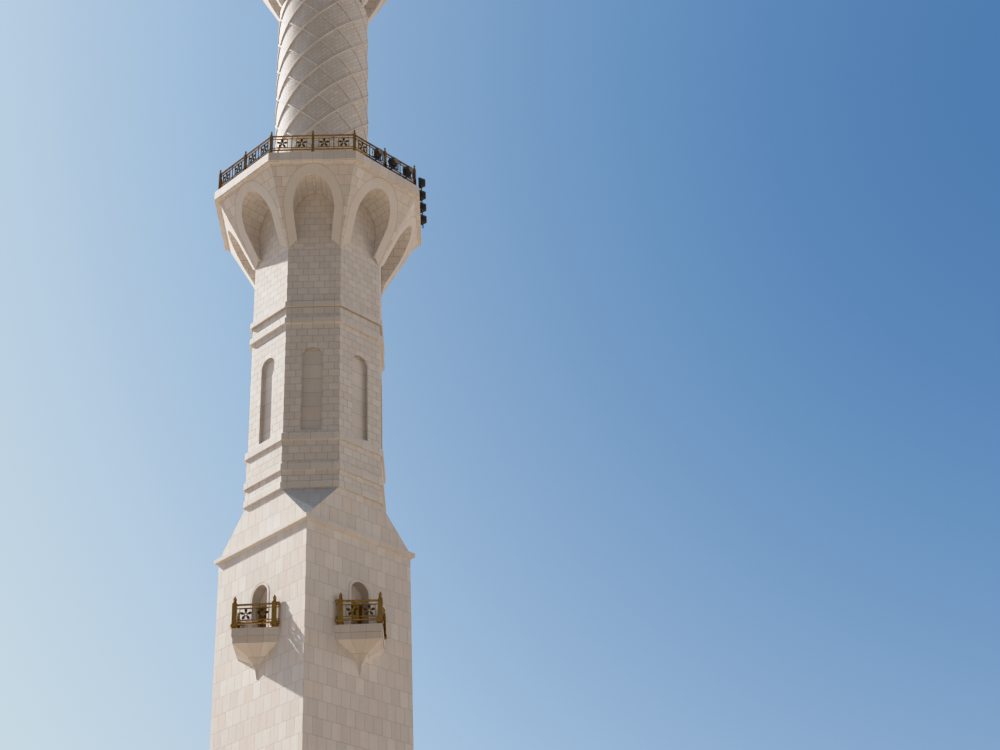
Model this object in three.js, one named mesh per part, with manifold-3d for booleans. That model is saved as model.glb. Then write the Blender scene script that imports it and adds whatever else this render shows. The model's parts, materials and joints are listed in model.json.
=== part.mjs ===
// A tall mosque minaret in white marble, at one tenth of its real size, in millimetres, +Z up.
// The origin is on the ground, at the middle of the foot. The square shaft's faces look along X and Y.
import * as THREE from 'three';
import { mergeVertices } from 'three/addons/utils/BufferGeometryUtils.js';
import Module from 'manifold-3d';

const wasm = await Module();
wasm.setup();

// Square shaft: half its width, and its wall
const HALF = 375;
const WALL = 55;
const INNER = HALF - WALL;

// Levels above the ground, from the foot up
const DECK_SMALL = 3386;
const FLOOR_THICK = 40;
const CORNICE_FOOT = 3928;
const CORNICE_TOP = 3960;
const BROACH_TOP = 4197;
const NICHE_ROW_FOOT = 4546;
const NICHE_ROW_TOP = 5270;
const FLARE_FOOT = 5814;
const SLAB_FOOT = 6272;
const DECK_MAIN = 6336;
const UPPER_FLARE_FOOT = 8030;
const UPPER_SLAB_FOOT = 8410;
const DECK_UPPER = 8466;
const LANTERN_FOOT = 8506;
const COLUMN_TOP = 9060;
const LANTERN_CORNICE_FOOT = 9240;
const DOME_FOOT = 9330;
const FINIAL_FOOT = 9962;
const TIP = 10700;

// Doorways onto the small balconies, and the gate that stands in each
const DOOR_HALF = 62;
const DOOR_TOP = 3678;
const DOOR_SPRING = DOOR_TOP - DOOR_HALF;
const GATE_HEIGHT = 192;
const GATE_THICK = 8;
const GATE_DEPTH = 40;

// Small balconies: their reach from the wall, two-step edge, and the corbel as [reach, drop below the deck]
const SMALL_REACH = 176;
const SMALL_STEP = 8;
const SMALL_FASCIA = 43;
const SMALL_SLAB = 81;
const CORBEL = [[160, SMALL_SLAB], [62, 130], [33, 156], [15, 184], [4, 234]];

// Small balustrade in plan: the point's reach, where it meets the wall, and the post nearest the wall
const SMALL_RAIL_REACH = 161;
const SMALL_RAIL_WALL = 173;
const WALL_POST = 29.5;

// Cornice, string courses and bevels
const CORNICE_PROUD = 19;
const BAND_PROUD = 16;
const BAND_BEVEL = 8;
const PLINTH_PROUD = 5;
const BASE_BAND = [4307, 4347];
const HEAD_BAND = [4496, 4538];
const COLLAR_BAND = [NICHE_ROW_TOP, 5306];
const UPPER_BAND = [5384, 5418];
const BROACH_WALL = 65;

// Blind niches of the octagonal shaft
const NICHE_HALF = 58;
const NICHE_FOOT = 4563;
const NICHE_TOP = 5108;
const NICHE_DEPTH = 22;

// Main balcony: apothems of its slab, rail line and flare, and the arches of the flare
const MAIN_SLAB = 631;
const MAIN_RAIL = 604;
const FLARE_TOP = 607;
const DRIP = 7;
const DRIP_HIGH = 5;
const MAIN_ARCH = { mouth: 152, neck: 101, cut: 45, half: 124, middle: 6032, crown: 6214 };

// Round shaft, its net of ribs, and the upper balcony
const ROUND_RADIUS = 297;
const ROUND_WALL = 45;
const ROUND_SIDES = 24;
const RIBS = 8;
const RIB_WIDTH = 22;
const RIB_PROUD = 7;
const RIB_CROSSING = 8024;
const RIB_PITCH = 1886;
const UPPER_SLAB = 478;
const UPPER_RAIL = 452;
const UPPER_FLARE_TOP = 458;
const UPPER_ARCH = { mouth: 112, neck: 78, cut: 36, half: 92, middle: 8200, crown: 8364 };

// Balustrades: middles of the rails and stars above the deck, then the post's width, shoulder and tip
const MAIN_BARS = {
  top: 144, upper: 124, star: 89.5, lower: 55, bottom: 38,
  width: 13, shoulder: 158, tip: 188,
};
const SMALL_BARS = {
  top: 133, upper: 113, star: 79, lower: 45, bottom: 28,
  width: 17, shoulder: 145, tip: 181,
};
const RAIL = 8;
const THIN_RAIL = 4;
const RAIL_DEPTH = 9;
const STAR_THICK = 4;
const STAR_RADIUS = 35;
const STAR_WAIST = 14;

// Floodlights outside the main balustrade: six-sided, widest towards the rail
const LAMP_RADIUS = 31;
const LAMP_BACK_RADIUS = 14;
const LAMP_NEAR = 626;
const LAMP_FAR = 670;
const LAMP_LEVEL = DECK_MAIN + 64;
const LAMP_ARM = { half: 4, low: 32, high: 48 };
const LAMP_PLACES = [
  ['south', 0, [-95, 35, 158]],
  ['southeast', 45, [-221, -95, 35, 158]],
];

// Lantern of eight columns, the dome and its finial
const LANTERN_RADIUS = 205;
const LANTERN_STEP = 237;
const LANTERN_WALL = 18;
const COLUMN_RADIUS = 24;
const COLUMN_NECK = 18;
const LANTERN_CORNICE = [232, 262];
const DOME_DRUM = 180;
const DOME_BULGE = 258;
const DOME_NECK = 26;
const FINIAL_BALLS = [62, 48, 36];
const FINIAL_STEM = 9;

// A gap that clears two turned faces
const CLEAR = 0.3;

const MARBLE = { color: 0xd9d4cb, roughness: 0.55, metalness: 0 };
const BRONZE = { color: 0x8a6430, roughness: 0.4, metalness: 0.9 };
const GOLD = { color: 0xc79a3c, roughness: 0.25, metalness: 1 };
const BLACK = { color: 0x17181a, roughness: 0.5, metalness: 0.2 };

const part = new THREE.Group();
const SIDES = [
  ['south', 0],
  ['east', 90],
  ['north', 180],
  ['west', 270],
];
const EIGHTH = Math.PI / 4;

// Drops normals and texture coordinates, joins the shared points and turns the faces outward
function closed(geometry) {
  const bare = geometry.index ? geometry.toNonIndexed() : geometry.clone();
  bare.deleteAttribute('normal');
  bare.deleteAttribute('uv');
  bare.clearGroups();
  const merged = mergeVertices(bare, 1e-3);
  const index = [];
  const source = merged.index.array;
  for (let i = 0; i < source.length; i += 3) {
    const [a, b, c] = [source[i], source[i + 1], source[i + 2]];
    if (a !== b && b !== c && c !== a) index.push(a, b, c);
  }
  merged.setIndex(index);
  if (volume(merged) < 0) {
    for (let i = 0; i < index.length; i += 3) [index[i], index[i + 1]] = [index[i + 1], index[i]];
    merged.setIndex(index);
  }
  return merged;
}

function volume(geometry) {
  const p = geometry.attributes.position;
  const [a, b, c] = [new THREE.Vector3(), new THREE.Vector3(), new THREE.Vector3()];
  const index = geometry.index.array;
  let sum = 0;
  for (let i = 0; i < index.length; i += 3) {
    a.fromBufferAttribute(p, index[i]);
    b.fromBufferAttribute(p, index[i + 1]);
    c.fromBufferAttribute(p, index[i + 2]);
    sum += a.dot(b.cross(c));
  }
  return sum / 6;
}

function toSolid(geometry) {
  const mesh = closed(geometry);
  const vertProperties = new Float32Array(mesh.attributes.position.array);
  const triVerts = new Uint32Array(mesh.index.array);
  return new wasm.Manifold(new wasm.Mesh({ numProp: 3, vertProperties, triVerts }));
}

function toGeometry(solid) {
  const mesh = solid.getMesh();
  const geometry = new THREE.BufferGeometry();
  geometry.setAttribute('position', new THREE.BufferAttribute(new Float32Array(mesh.vertProperties), 3));
  geometry.setIndex(new THREE.BufferAttribute(new Uint32Array(mesh.triVerts), 1));
  return geometry;
}

function joined(geometries) {
  let solid = toSolid(geometries[0]);
  for (const geometry of geometries.slice(1)) solid = solid.add(toSolid(geometry));
  return toGeometry(solid);
}

function cut(geometry, cutters) {
  let solid = toSolid(geometry);
  for (const cutter of cutters) solid = solid.subtract(toSolid(cutter));
  return toGeometry(solid);
}

function piece(name, geometry, finish, turn = 0) {
  const mesh = new THREE.Mesh(closed(geometry), new THREE.MeshStandardMaterial(finish));
  mesh.name = name;
  mesh.rotation.z = THREE.MathUtils.degToRad(turn);
  part.add(mesh);
}

// A box between two corners
function block(low, high) {
  const size = low.map((value, axis) => high[axis] - value);
  const middle = low.map((value, axis) => (high[axis] + value) / 2);
  return new THREE.BoxGeometry(...size).translate(...middle);
}

// An outline in plan, raised from one level to another
function raised(points, low, high) {
  const shape = new THREE.Shape(points.map(([x, y]) => new THREE.Vector2(x, y)));
  return new THREE.ExtrudeGeometry(shape, { depth: high - low, bevelEnabled: false }).translate(0, 0, low);
}

// An outline in elevation, with x across and z up, run along Y from near to far
function through(shape, near, far) {
  const solid = new THREE.ExtrudeGeometry(shape, { depth: far - near, bevelEnabled: false });
  return solid.rotateX(Math.PI / 2).translate(0, far, 0);
}

// The same outline with each curve in a few straight steps
function coarse(shape, steps) {
  return new THREE.Shape(shape.getPoints(steps));
}

// A closed or axis-to-axis profile of [apothem, level], turned with flat faces towards X and Y
function turned(profile, sides) {
  const spread = 1 / Math.cos(Math.PI / sides);
  const points = profile.map(([r, z]) => new THREE.Vector2(r * spread, z));
  return new THREE.LatheGeometry(points, sides, Math.PI / sides).rotateX(Math.PI / 2);
}

function loop(profile) {
  return [...profile, profile[0]];
}

// A body through outlines in plan with as many corners each, given as [outline, level] from the top down
function lofted(sections) {
  const points = [];
  const add = (...corners) => corners.forEach((corner) => points.push(...corner));
  const at = ([outline, level], i) => [...outline[i % outline.length], level];
  const [top, foot] = [sections[0], sections[sections.length - 1]];
  const corners = top[0].length;
  for (let k = 1; k < sections.length; k += 1) {
    const [above, below] = [sections[k - 1], sections[k]];
    for (let i = 0; i < corners; i += 1) {
      add(at(above, i), at(below, i), at(above, i + 1));
      add(at(above, i + 1), at(below, i), at(below, i + 1));
    }
  }
  for (let i = 1; i < corners - 1; i += 1) {
    add(at(top, 0), at(top, i), at(top, i + 1));
    add(at(foot, 0), at(foot, i + 1), at(foot, i));
  }
  const geometry = new THREE.BufferGeometry();
  geometry.setAttribute('position', new THREE.Float32BufferAttribute(points, 3));
  return geometry;
}

// Profile of a string course from its foot up, with a bevelled top edge
function band([low, high], face, proud = BAND_PROUD) {
  return [[face + proud, low], [face + proud, high], [face, high + BAND_BEVEL]];
}

// Square shaft up to the small balconies
const lowSouth = block([-HALF, -HALF, 0], [HALF, -INNER, DECK_SMALL]);
const lowEast = block([INNER, -INNER, 0], [HALF, INNER, DECK_SMALL]);
piece('shaft_wall_south', lowSouth, MARBLE);
piece('shaft_wall_north', lowSouth, MARBLE, 180);
piece('shaft_wall_east', lowEast, MARBLE);
piece('shaft_wall_west', lowEast, MARBLE, 180);
const landing = block([-INNER, -INNER, DECK_SMALL - FLOOR_THICK], [INNER, INNER, DECK_SMALL]);
piece('balcony_level_floor', landing, MARBLE);

// Four corner piers between the doorways
const pierPlan = [
  [-HALF, -HALF],
  [-DOOR_HALF, -HALF],
  [-DOOR_HALF, -INNER],
  [-INNER, -INNER],
  [-INNER, -DOOR_HALF],
  [-HALF, -DOOR_HALF],
];
const pier = raised(pierPlan, DECK_SMALL, CORNICE_FOOT);
['southwest', 'southeast', 'northeast', 'northwest'].forEach((corner, i) => {
  piece(`corner_pier_${corner}`, pier, MARBLE, 90 * i);
});

// The wall over each doorway, with its round arch
function doorHead() {
  const shape = new THREE.Shape();
  shape.moveTo(-DOOR_HALF, DOOR_SPRING);
  shape.absarc(0, DOOR_SPRING, DOOR_HALF, Math.PI, 0, true);
  shape.lineTo(DOOR_HALF, CORNICE_FOOT);
  shape.lineTo(-DOOR_HALF, CORNICE_FOOT);
  return through(shape, -HALF, -INNER);
}

function gate() {
  const near = -HALF + GATE_DEPTH;
  const half = DOOR_HALF - CLEAR;
  return block([-half, near, DECK_SMALL], [half, near + GATE_THICK, DECK_SMALL + GATE_HEIGHT]);
}

// Triangular balcony with its point outward, a two-step edge and a corbel that curves in to a pendant
function smallBalcony() {
  const plan = (reach) => [[-reach, -HALF], [0, -HALF - reach], [reach, -HALF]];
  const upper = raised(plan(SMALL_REACH), DECK_SMALL - SMALL_FASCIA, DECK_SMALL);
  const lower = raised(plan(SMALL_REACH - SMALL_STEP), DECK_SMALL - SMALL_SLAB, DECK_SMALL - SMALL_FASCIA);
  const corbel = lofted(CORBEL.map(([reach, drop]) => [plan(reach), DECK_SMALL - drop]));
  return joined([upper, lower, corbel]);
}

// Five-pointed star plate, standing in the XZ plane
function star(x, z) {
  const outline = [];
  for (let i = 0; i < 10; i += 1) {
    const reach = i % 2 ? STAR_WAIST : STAR_RADIUS;
    outline.push(new THREE.Vector2(reach * Math.sin(i * Math.PI / 5), reach * Math.cos(i * Math.PI / 5)));
  }
  return through(new THREE.Shape(outline), -STAR_THICK / 2, STAR_THICK / 2).translate(x, 0, z);
}

// A square post with a neck, a bulb and a pointed tip
function post(x, bars) {
  const half = bars.width / 2;
  const bulb = (bars.shoulder + bars.tip) / 2;
  const shaft = [[0, 0], [half, 0], [half, bars.shoulder]];
  const spear = [[half * 0.5, bars.shoulder + half], [half * 0.8, bulb], [0, bars.tip]];
  return turned([...shaft, ...spear], 4).translate(x, 0, 0);
}

// A rail's height from and to
function span(middle, thick) {
  return [middle - thick / 2, middle + thick / 2];
}

function rails(bars) {
  const thick = [span(bars.top, RAIL), span(bars.bottom, RAIL)];
  return [...thick, span(bars.upper, THIN_RAIL), span(bars.lower, THIN_RAIL)];
}

// Rails from one end to the other, along X, with posts, stars and upright bars where they are asked for
function railRun(start, end, posts, stars, uprights, bars) {
  const deep = RAIL_DEPTH / 2;
  const thin = THIN_RAIL / 2;
  const pieces = rails(bars).map(([low, high]) => block([start, -deep, low], [end, deep, high]));
  posts.forEach((x) => pieces.push(post(x, bars)));
  stars.forEach((x) => pieces.push(star(x, bars.star)));
  uprights.forEach((x) => pieces.push(block([x - thin, -thin, bars.bottom], [x + thin, thin, bars.top])));
  return pieces;
}

// Two bays of two stars each between posts, on one side of an octagon; a gap is left at its start
function octagonSide(apothem, deck, turn, gap) {
  const reach = apothem * Math.tan(EIGHTH / 2);
  const panel = reach / 2;
  const stars = [-1.5, -0.5, 0.5, 1.5].map((k) => k * panel);
  const run = railRun(-reach + gap, reach, [0, reach], stars, [-panel, panel], MAIN_BARS);
  run.forEach((geometry) => geometry.translate(0, -apothem, deck).rotateZ(turn));
  return run;
}

// Each node of an octagonal balustrade has two sides, from just past one corner post to the next but one
function octagonRail(name, apothem, deck) {
  const gap = MAIN_BARS.width / Math.SQRT2 + CLEAR;
  const pair = joined([...octagonSide(apothem, deck, 0, gap), ...octagonSide(apothem, deck, EIGHTH, 0)]);
  SIDES.forEach(([side, turn]) => piece(`${name}_${side}`, pair, BRONZE, turn));
}

// Balustrade of a small balcony, with a side each way from the wall to the point
function smallRail() {
  const length = Math.hypot(SMALL_RAIL_REACH, SMALL_RAIL_WALL);
  const panel = (length - WALL_POST) / 2;
  const stars = [0.5, 1.5].map((k) => WALL_POST + k * panel);
  const run = railRun(0, length, [WALL_POST, length], stars, [WALL_POST + panel], SMALL_BARS);
  const angle = Math.atan2(SMALL_RAIL_REACH, SMALL_RAIL_WALL);
  const one = joined(run).rotateZ(-angle).translate(-SMALL_RAIL_WALL, -HALF, DECK_SMALL);
  const other = closed(one.clone().scale(-1, 1, 1));
  const wall = block([-HALF, -HALF - CLEAR, DECK_SMALL], [HALF, 0, DECK_MAIN]);
  return cut(joined([one, other]), [wall]);
}

SIDES.forEach(([side, turn]) => {
  piece(`door_arch_${side}`, doorHead(), MARBLE, turn);
  piece(`door_gate_${side}`, gate(), BRONZE, turn);
  piece(`small_balcony_${side}`, smallBalcony(), MARBLE, turn);
  piece(`small_railing_${side}`, smallRail(), BRONZE, turn);
});

// Cornice round the square, a slab with a bevelled underside
const corniceProfile = [
  [INNER, CORNICE_FOOT],
  [HALF, CORNICE_FOOT],
  [HALF + CORNICE_PROUD, CORNICE_FOOT + BAND_BEVEL],
  [HALF + CORNICE_PROUD, CORNICE_TOP],
  [INNER, CORNICE_TOP],
];
piece('square_cornice', turned(loop(corniceProfile), 4), MARBLE);

// Square foot to octagonal head: the corners are cut by sloping triangles
function broach() {
  const octagon = (apothem) => {
    const side = apothem * Math.tan(EIGHTH / 2);
    return [[-side, -apothem], [side, -apothem], [apothem, -side], [apothem, side],
      [side, apothem], [-side, apothem], [-apothem, side], [-apothem, -side]];
  };
  const square = (half) => [[-half, -half], [half, -half], [half, -half], [half, half],
    [half, half], [-half, half], [-half, half], [-half, -half]];
  const inner = HALF - BROACH_WALL;
  const outside = lofted([[octagon(HALF), BROACH_TOP], [square(HALF), CORNICE_TOP]]);
  const inside = lofted([[octagon(inner), BROACH_TOP + 1], [square(inner), CORNICE_TOP - 1]]);
  return cut(outside, [inside]);
}
piece('broach', broach(), MARBLE);

// Octagonal base with its three string courses
const baseFace = HALF + PLINTH_PROUD;
const baseProfile = [
  [INNER, BROACH_TOP],
  ...band([BROACH_TOP, BROACH_TOP + 38], baseFace, BAND_BEVEL),
  [baseFace, BASE_BAND[0]],
  ...band(BASE_BAND, baseFace, BAND_PROUD - PLINTH_PROUD),
  [baseFace, HEAD_BAND[0]],
  ...band(HEAD_BAND, baseFace, BAND_PROUD - PLINTH_PROUD),
  [INNER, NICHE_ROW_FOOT],
];
piece('octagon_base', turned(loop(baseProfile), 8), MARBLE);

// Octagonal shaft with a tall blind niche on each side
function nicheShaft() {
  const body = turned(loop([
    [INNER, NICHE_ROW_FOOT],
    [HALF, NICHE_ROW_FOOT],
    [HALF, NICHE_ROW_TOP],
    [INNER, NICHE_ROW_TOP],
  ]), 8);
  const cutters = [];
  for (let i = 0; i < 8; i += 1) {
    const shape = new THREE.Shape();
    shape.moveTo(NICHE_HALF, NICHE_FOOT);
    shape.lineTo(NICHE_HALF, NICHE_TOP - NICHE_HALF);
    shape.absarc(0, NICHE_TOP - NICHE_HALF, NICHE_HALF, 0, Math.PI, false);
    shape.lineTo(-NICHE_HALF, NICHE_FOOT);
    cutters.push(through(coarse(shape, 6), -HALF - 1, -HALF + NICHE_DEPTH).rotateZ(i * EIGHTH));
  }
  return cut(body, cutters);
}
piece('octagon_shaft', nicheShaft(), MARBLE);

const upperProfile = [
  [INNER, NICHE_ROW_TOP],
  ...band(COLLAR_BAND, HALF),
  [HALF, UPPER_BAND[0]],
  ...band(UPPER_BAND, HALF),
  [HALF, FLARE_FOOT],
  [INNER, FLARE_FOOT],
];
piece('octagon_upper_shaft', turned(loop(upperProfile), 8), MARBLE);

// A flared ring of eight sloping faces, each opened by a tall arch down to the shaft's wall
function flare(inner, shaft, top, foot, head, arch) {
  const body = turned(loop([
    [inner, foot],
    [shaft, foot],
    [top, head],
    [inner, head],
  ]), 8);
  const margin = 20;
  const cutters = [];
  for (let i = 0; i < 8; i += 1) {
    const shape = new THREE.Shape();
    shape.moveTo(arch.mouth, foot - margin);
    shape.lineTo(arch.mouth, foot + 2);
    shape.lineTo(arch.neck, foot + arch.cut);
    shape.lineTo(arch.half, arch.middle);
    shape.absellipse(0, arch.middle, arch.half, arch.crown - arch.middle, 0, Math.PI, false, 0);
    shape.lineTo(-arch.neck, foot + arch.cut);
    shape.lineTo(-arch.mouth, foot + 2);
    shape.lineTo(-arch.mouth, foot - margin);
    cutters.push(through(coarse(shape, 6), -top - margin, -shaft).rotateZ(i * EIGHTH));
  }
  return cut(body, cutters);
}
piece('main_balcony_flare', flare(INNER, HALF, FLARE_TOP, FLARE_FOOT, SLAB_FOOT, MAIN_ARCH), MARBLE);

// A balcony's floor, with a thin drip edge set back beneath
function balconySlab(apothem, foot, deck) {
  return turned([
    [0, foot],
    [apothem - DRIP, foot],
    [apothem - DRIP, foot + DRIP_HIGH],
    [apothem, foot + DRIP_HIGH],
    [apothem, deck],
    [0, deck],
  ], 8);
}
piece('main_balcony_slab', balconySlab(MAIN_SLAB, SLAB_FOOT, DECK_MAIN), MARBLE);
octagonRail('main_railing', MAIN_RAIL, DECK_MAIN);

// Floodlights hung outside the main balustrade on two sides, each on a short arm
function hexagon(radius, level) {
  const corners = [0, 1, 2, 3, 4, 5].map((i) => i * Math.PI / 3);
  return [corners.map((angle) => [radius * Math.cos(angle), radius * Math.sin(angle)]), level];
}

function lamp(x) {
  const rail = MAIN_RAIL + RAIL_DEPTH / 2 + CLEAR;
  const head = lofted([hexagon(LAMP_BACK_RADIUS, LAMP_FAR), hexagon(LAMP_RADIUS, LAMP_NEAR)]);
  head.rotateX(Math.PI / 2).translate(x, 0, LAMP_LEVEL);
  const { half, low, high } = LAMP_ARM;
  const arm = block([x - half, -LAMP_NEAR - half, DECK_MAIN + low], [x + half, -rail, DECK_MAIN + high]);
  return joined([head, arm]);
}
LAMP_PLACES.forEach(([side, turn, places]) => {
  places.forEach((x, i) => piece(`floodlight_${side}_${i + 1}`, lamp(x), BLACK, turn));
});

// Round shaft between the balconies
const roundProfile = [
  [ROUND_RADIUS - ROUND_WALL, DECK_MAIN],
  [ROUND_RADIUS, DECK_MAIN],
  [ROUND_RADIUS, UPPER_FLARE_FOOT],
  [ROUND_RADIUS - ROUND_WALL, UPPER_FLARE_FOOT],
];
piece('round_shaft', turned(loop(roundProfile), ROUND_SIDES), MARBLE);

// One rib that climbs round the shaft at about 45 degrees, its corners on the shaft's own corner lines
function rib(angle, level, hand) {
  const spread = 1 / Math.cos(Math.PI / ROUND_SIDES);
  const near = (ROUND_RADIUS + CLEAR) * spread;
  const far = (ROUND_RADIUS + RIB_PROUD) * spread;
  const half = RIB_WIDTH / Math.SQRT2;
  const step = 2 * Math.PI / ROUND_SIDES;
  const rise = RIB_PITCH / ROUND_SIDES;
  const first = Math.floor((DECK_MAIN - level) / rise) - 1;
  const last = Math.ceil((UPPER_FLARE_FOOT - level) / rise) + 1;
  const section = (k) => {
    const turn = angle + hand * (k + 0.5) * step;
    const z = level + (k + 0.5) * rise;
    const corner = (r, dz) => [r * Math.cos(turn), r * Math.sin(turn), z + dz];
    return [corner(near, -half), corner(far, -half), corner(far, half), corner(near, half)];
  };
  const points = [];
  const face = (a, b, c, d) => points.push(...a, ...b, ...c, ...a, ...c, ...d);
  for (let k = first; k < last; k += 1) {
    const [here, next] = [section(k), section(k + 1)];
    for (let i = 0; i < 4; i += 1) face(here[i], here[(i + 1) % 4], next[(i + 1) % 4], next[i]);
  }
  face(...section(first).reverse());
  face(...section(last));
  const geometry = new THREE.BufferGeometry();
  geometry.setAttribute('position', new THREE.Float32BufferAttribute(points, 3));
  return geometry;
}

// Net of ribs from the main deck to the upper flare, eight each way, crossing over the octagon's sides
function ribNet() {
  const ribs = [];
  for (let i = 0; i < RIBS; i += 1) {
    const angle = i * 2 * Math.PI / RIBS;
    [1, -1].forEach((hand) => ribs.push(rib(angle, RIB_CROSSING, hand)));
  }
  const wide = [-2 * ROUND_RADIUS, 2 * ROUND_RADIUS];
  const under = block([wide[0], wide[0], 0], [wide[1], wide[1], DECK_MAIN]);
  const over = block([wide[0], wide[0], UPPER_FLARE_FOOT], [wide[1], wide[1], TIP]);
  return cut(joined(ribs), [under, over]);
}
piece('rib_net', ribNet(), MARBLE);

// Upper balcony
const upperShaft = ROUND_RADIUS * Math.cos(EIGHTH / 2);
const upperInner = upperShaft - ROUND_WALL;
const upperSize = [upperInner, upperShaft, UPPER_FLARE_TOP, UPPER_FLARE_FOOT, UPPER_SLAB_FOOT];
piece('upper_balcony_flare', flare(...upperSize, UPPER_ARCH), MARBLE);
piece('upper_balcony_slab', balconySlab(UPPER_SLAB, UPPER_SLAB_FOOT, DECK_UPPER), MARBLE);
octagonRail('upper_railing', UPPER_RAIL, DECK_UPPER);

// Lantern: a step, eight columns under round arches, a cornice and the gilded dome
const stepEdge = [[LANTERN_STEP, DECK_UPPER], [LANTERN_STEP, LANTERN_FOOT]];
piece('lantern_step', turned([[0, DECK_UPPER], ...stepEdge, [0, LANTERN_FOOT]], 8), MARBLE);

function lanternColumn() {
  const profile = [
    [0, LANTERN_FOOT], [COLUMN_RADIUS, LANTERN_FOOT], [COLUMN_RADIUS, LANTERN_FOOT + 22],
    [COLUMN_NECK, LANTERN_FOOT + 34], [COLUMN_NECK, COLUMN_TOP - 50],
    [COLUMN_RADIUS, COLUMN_TOP - 20], [COLUMN_RADIUS, COLUMN_TOP], [0, COLUMN_TOP],
  ];
  return turned(profile, 6);
}

function lanternArcade() {
  const outer = LANTERN_RADIUS + LANTERN_WALL;
  const inner = LANTERN_RADIUS - LANTERN_WALL;
  const spring = COLUMN_TOP + 20;
  const ring = turned(loop([[inner, COLUMN_TOP - 10], [outer, COLUMN_TOP - 10],
    [outer, LANTERN_CORNICE_FOOT], [inner, LANTERN_CORNICE_FOOT]]), 8);
  const half = LANTERN_RADIUS * Math.tan(EIGHTH / 2) - COLUMN_RADIUS;
  const shape = new THREE.Shape();
  shape.moveTo(half, COLUMN_TOP - 20);
  shape.lineTo(half, spring);
  shape.absarc(0, spring, half, 0, Math.PI, false);
  shape.lineTo(-half, COLUMN_TOP - 20);
  const arch = through(coarse(shape, 4), -outer - 30, -inner + 30);
  const turns = [0, 1, 2, 3, 4, 5, 6, 7].map((i) => i * EIGHTH);
  const head = cut(ring, turns.map((turn) => arch.clone().rotateZ(turn)));
  const radius = LANTERN_RADIUS / Math.cos(EIGHTH / 2);
  const columns = turns.map((turn) => {
    const angle = turn + EIGHTH / 2;
    return lanternColumn().translate(radius * Math.sin(angle), radius * Math.cos(angle), 0);
  });
  return joined([head, ...columns]);
}
piece('lantern_arcade', lanternArcade(), MARBLE);

const [corniceNear, corniceFar] = LANTERN_CORNICE;
const lanternCornice = [
  [0, LANTERN_CORNICE_FOOT],
  [corniceNear, LANTERN_CORNICE_FOOT],
  [corniceNear + 8, LANTERN_CORNICE_FOOT + 20],
  [corniceFar, LANTERN_CORNICE_FOOT + 38],
  [corniceFar, LANTERN_CORNICE_FOOT + 56],
  [corniceNear, DOME_FOOT],
  [0, DOME_FOOT],
];
piece('lantern_cornice', turned(lanternCornice, 8), MARBLE);

// Onion dome: a short drum, a bulge and a pointed top
function dome() {
  const spring = DOME_FOOT + 70;
  const curve = new THREE.CubicBezierCurve(
    new THREE.Vector2(DOME_DRUM - 10, spring),
    new THREE.Vector2(DOME_BULGE, spring + 180),
    new THREE.Vector2(DOME_DRUM - 10, spring + 360),
    new THREE.Vector2(DOME_NECK, FINIAL_FOOT - 20),
  );
  const points = curve.getPoints(10).map((p) => [p.x, p.y]);
  const drum = [[0, DOME_FOOT], [DOME_DRUM, DOME_FOOT], [DOME_DRUM, spring - 10]];
  return turned([...drum, ...points, [DOME_NECK, FINIAL_FOOT], [0, FINIAL_FOOT]], 16);
}
piece('dome', dome(), GOLD);

// Finial: a saucer, three balls that grow smaller, a cone and a thin spike
function finial() {
  const saucer = [[0, 0], [FINIAL_STEM, 0], [34, 0], [40, 16], [12, 30]];
  const profile = saucer.map(([r, z]) => [r, FINIAL_FOOT + z]);
  let level = FINIAL_FOOT + 40;
  FINIAL_BALLS.forEach((radius) => {
    for (let i = 1; i < 5; i += 1) {
      const angle = i * Math.PI / 5;
      profile.push([radius * Math.sin(angle), level + radius - radius * Math.cos(angle)]);
    }
    level += radius * 2 + 14;
    profile.push([FINIAL_STEM, level - 10], [FINIAL_STEM, level - 4]);
  });
  profile.push([26, level + 6], [20, level + 30], [7, TIP - 190], [2, TIP], [0, TIP]);
  return turned(profile, 10);
}
piece('finial', finial(), GOLD);

export default part;
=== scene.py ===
# %% [markdown]
# # A marble minaret at one tenth of its size
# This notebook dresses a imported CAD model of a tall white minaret. The CAD solids already stand at the
# right place and size. Here they get their stone joints, railings, ribs, gilding, light and camera.
# First the frame is loaded and everything is deselected, because the import leaves its nodes selected.

# %% Load the frame
import json
import math

import bmesh
import bpy
from mathutils import Matrix, Vector

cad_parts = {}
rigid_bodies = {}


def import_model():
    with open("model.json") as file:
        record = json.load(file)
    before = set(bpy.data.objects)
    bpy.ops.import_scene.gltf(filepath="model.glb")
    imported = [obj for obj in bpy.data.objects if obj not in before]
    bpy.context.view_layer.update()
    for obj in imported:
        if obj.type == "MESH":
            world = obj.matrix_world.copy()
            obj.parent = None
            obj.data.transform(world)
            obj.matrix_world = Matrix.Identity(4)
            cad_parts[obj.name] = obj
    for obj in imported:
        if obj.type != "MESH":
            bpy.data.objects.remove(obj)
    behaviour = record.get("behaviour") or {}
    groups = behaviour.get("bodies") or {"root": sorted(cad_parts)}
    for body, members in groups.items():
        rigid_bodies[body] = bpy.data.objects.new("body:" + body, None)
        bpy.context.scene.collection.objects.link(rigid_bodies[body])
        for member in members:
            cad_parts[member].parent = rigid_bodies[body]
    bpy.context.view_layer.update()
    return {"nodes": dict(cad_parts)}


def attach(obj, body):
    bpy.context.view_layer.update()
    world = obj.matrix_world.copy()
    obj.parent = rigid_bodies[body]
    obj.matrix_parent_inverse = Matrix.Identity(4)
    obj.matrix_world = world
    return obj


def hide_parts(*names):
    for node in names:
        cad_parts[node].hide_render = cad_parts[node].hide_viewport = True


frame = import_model()
nodes = frame["nodes"]
bpy.ops.object.select_all(action="DESELECT")

# %% [markdown]
# ## The camera
# The photograph looks steeply up from a person's eye height. Its place, aim and lens were solved from the
# tower's own corners and stone courses, so the render can be laid over the photograph. The camera matrix
# is written out by its three directions: right, up and back.

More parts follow.
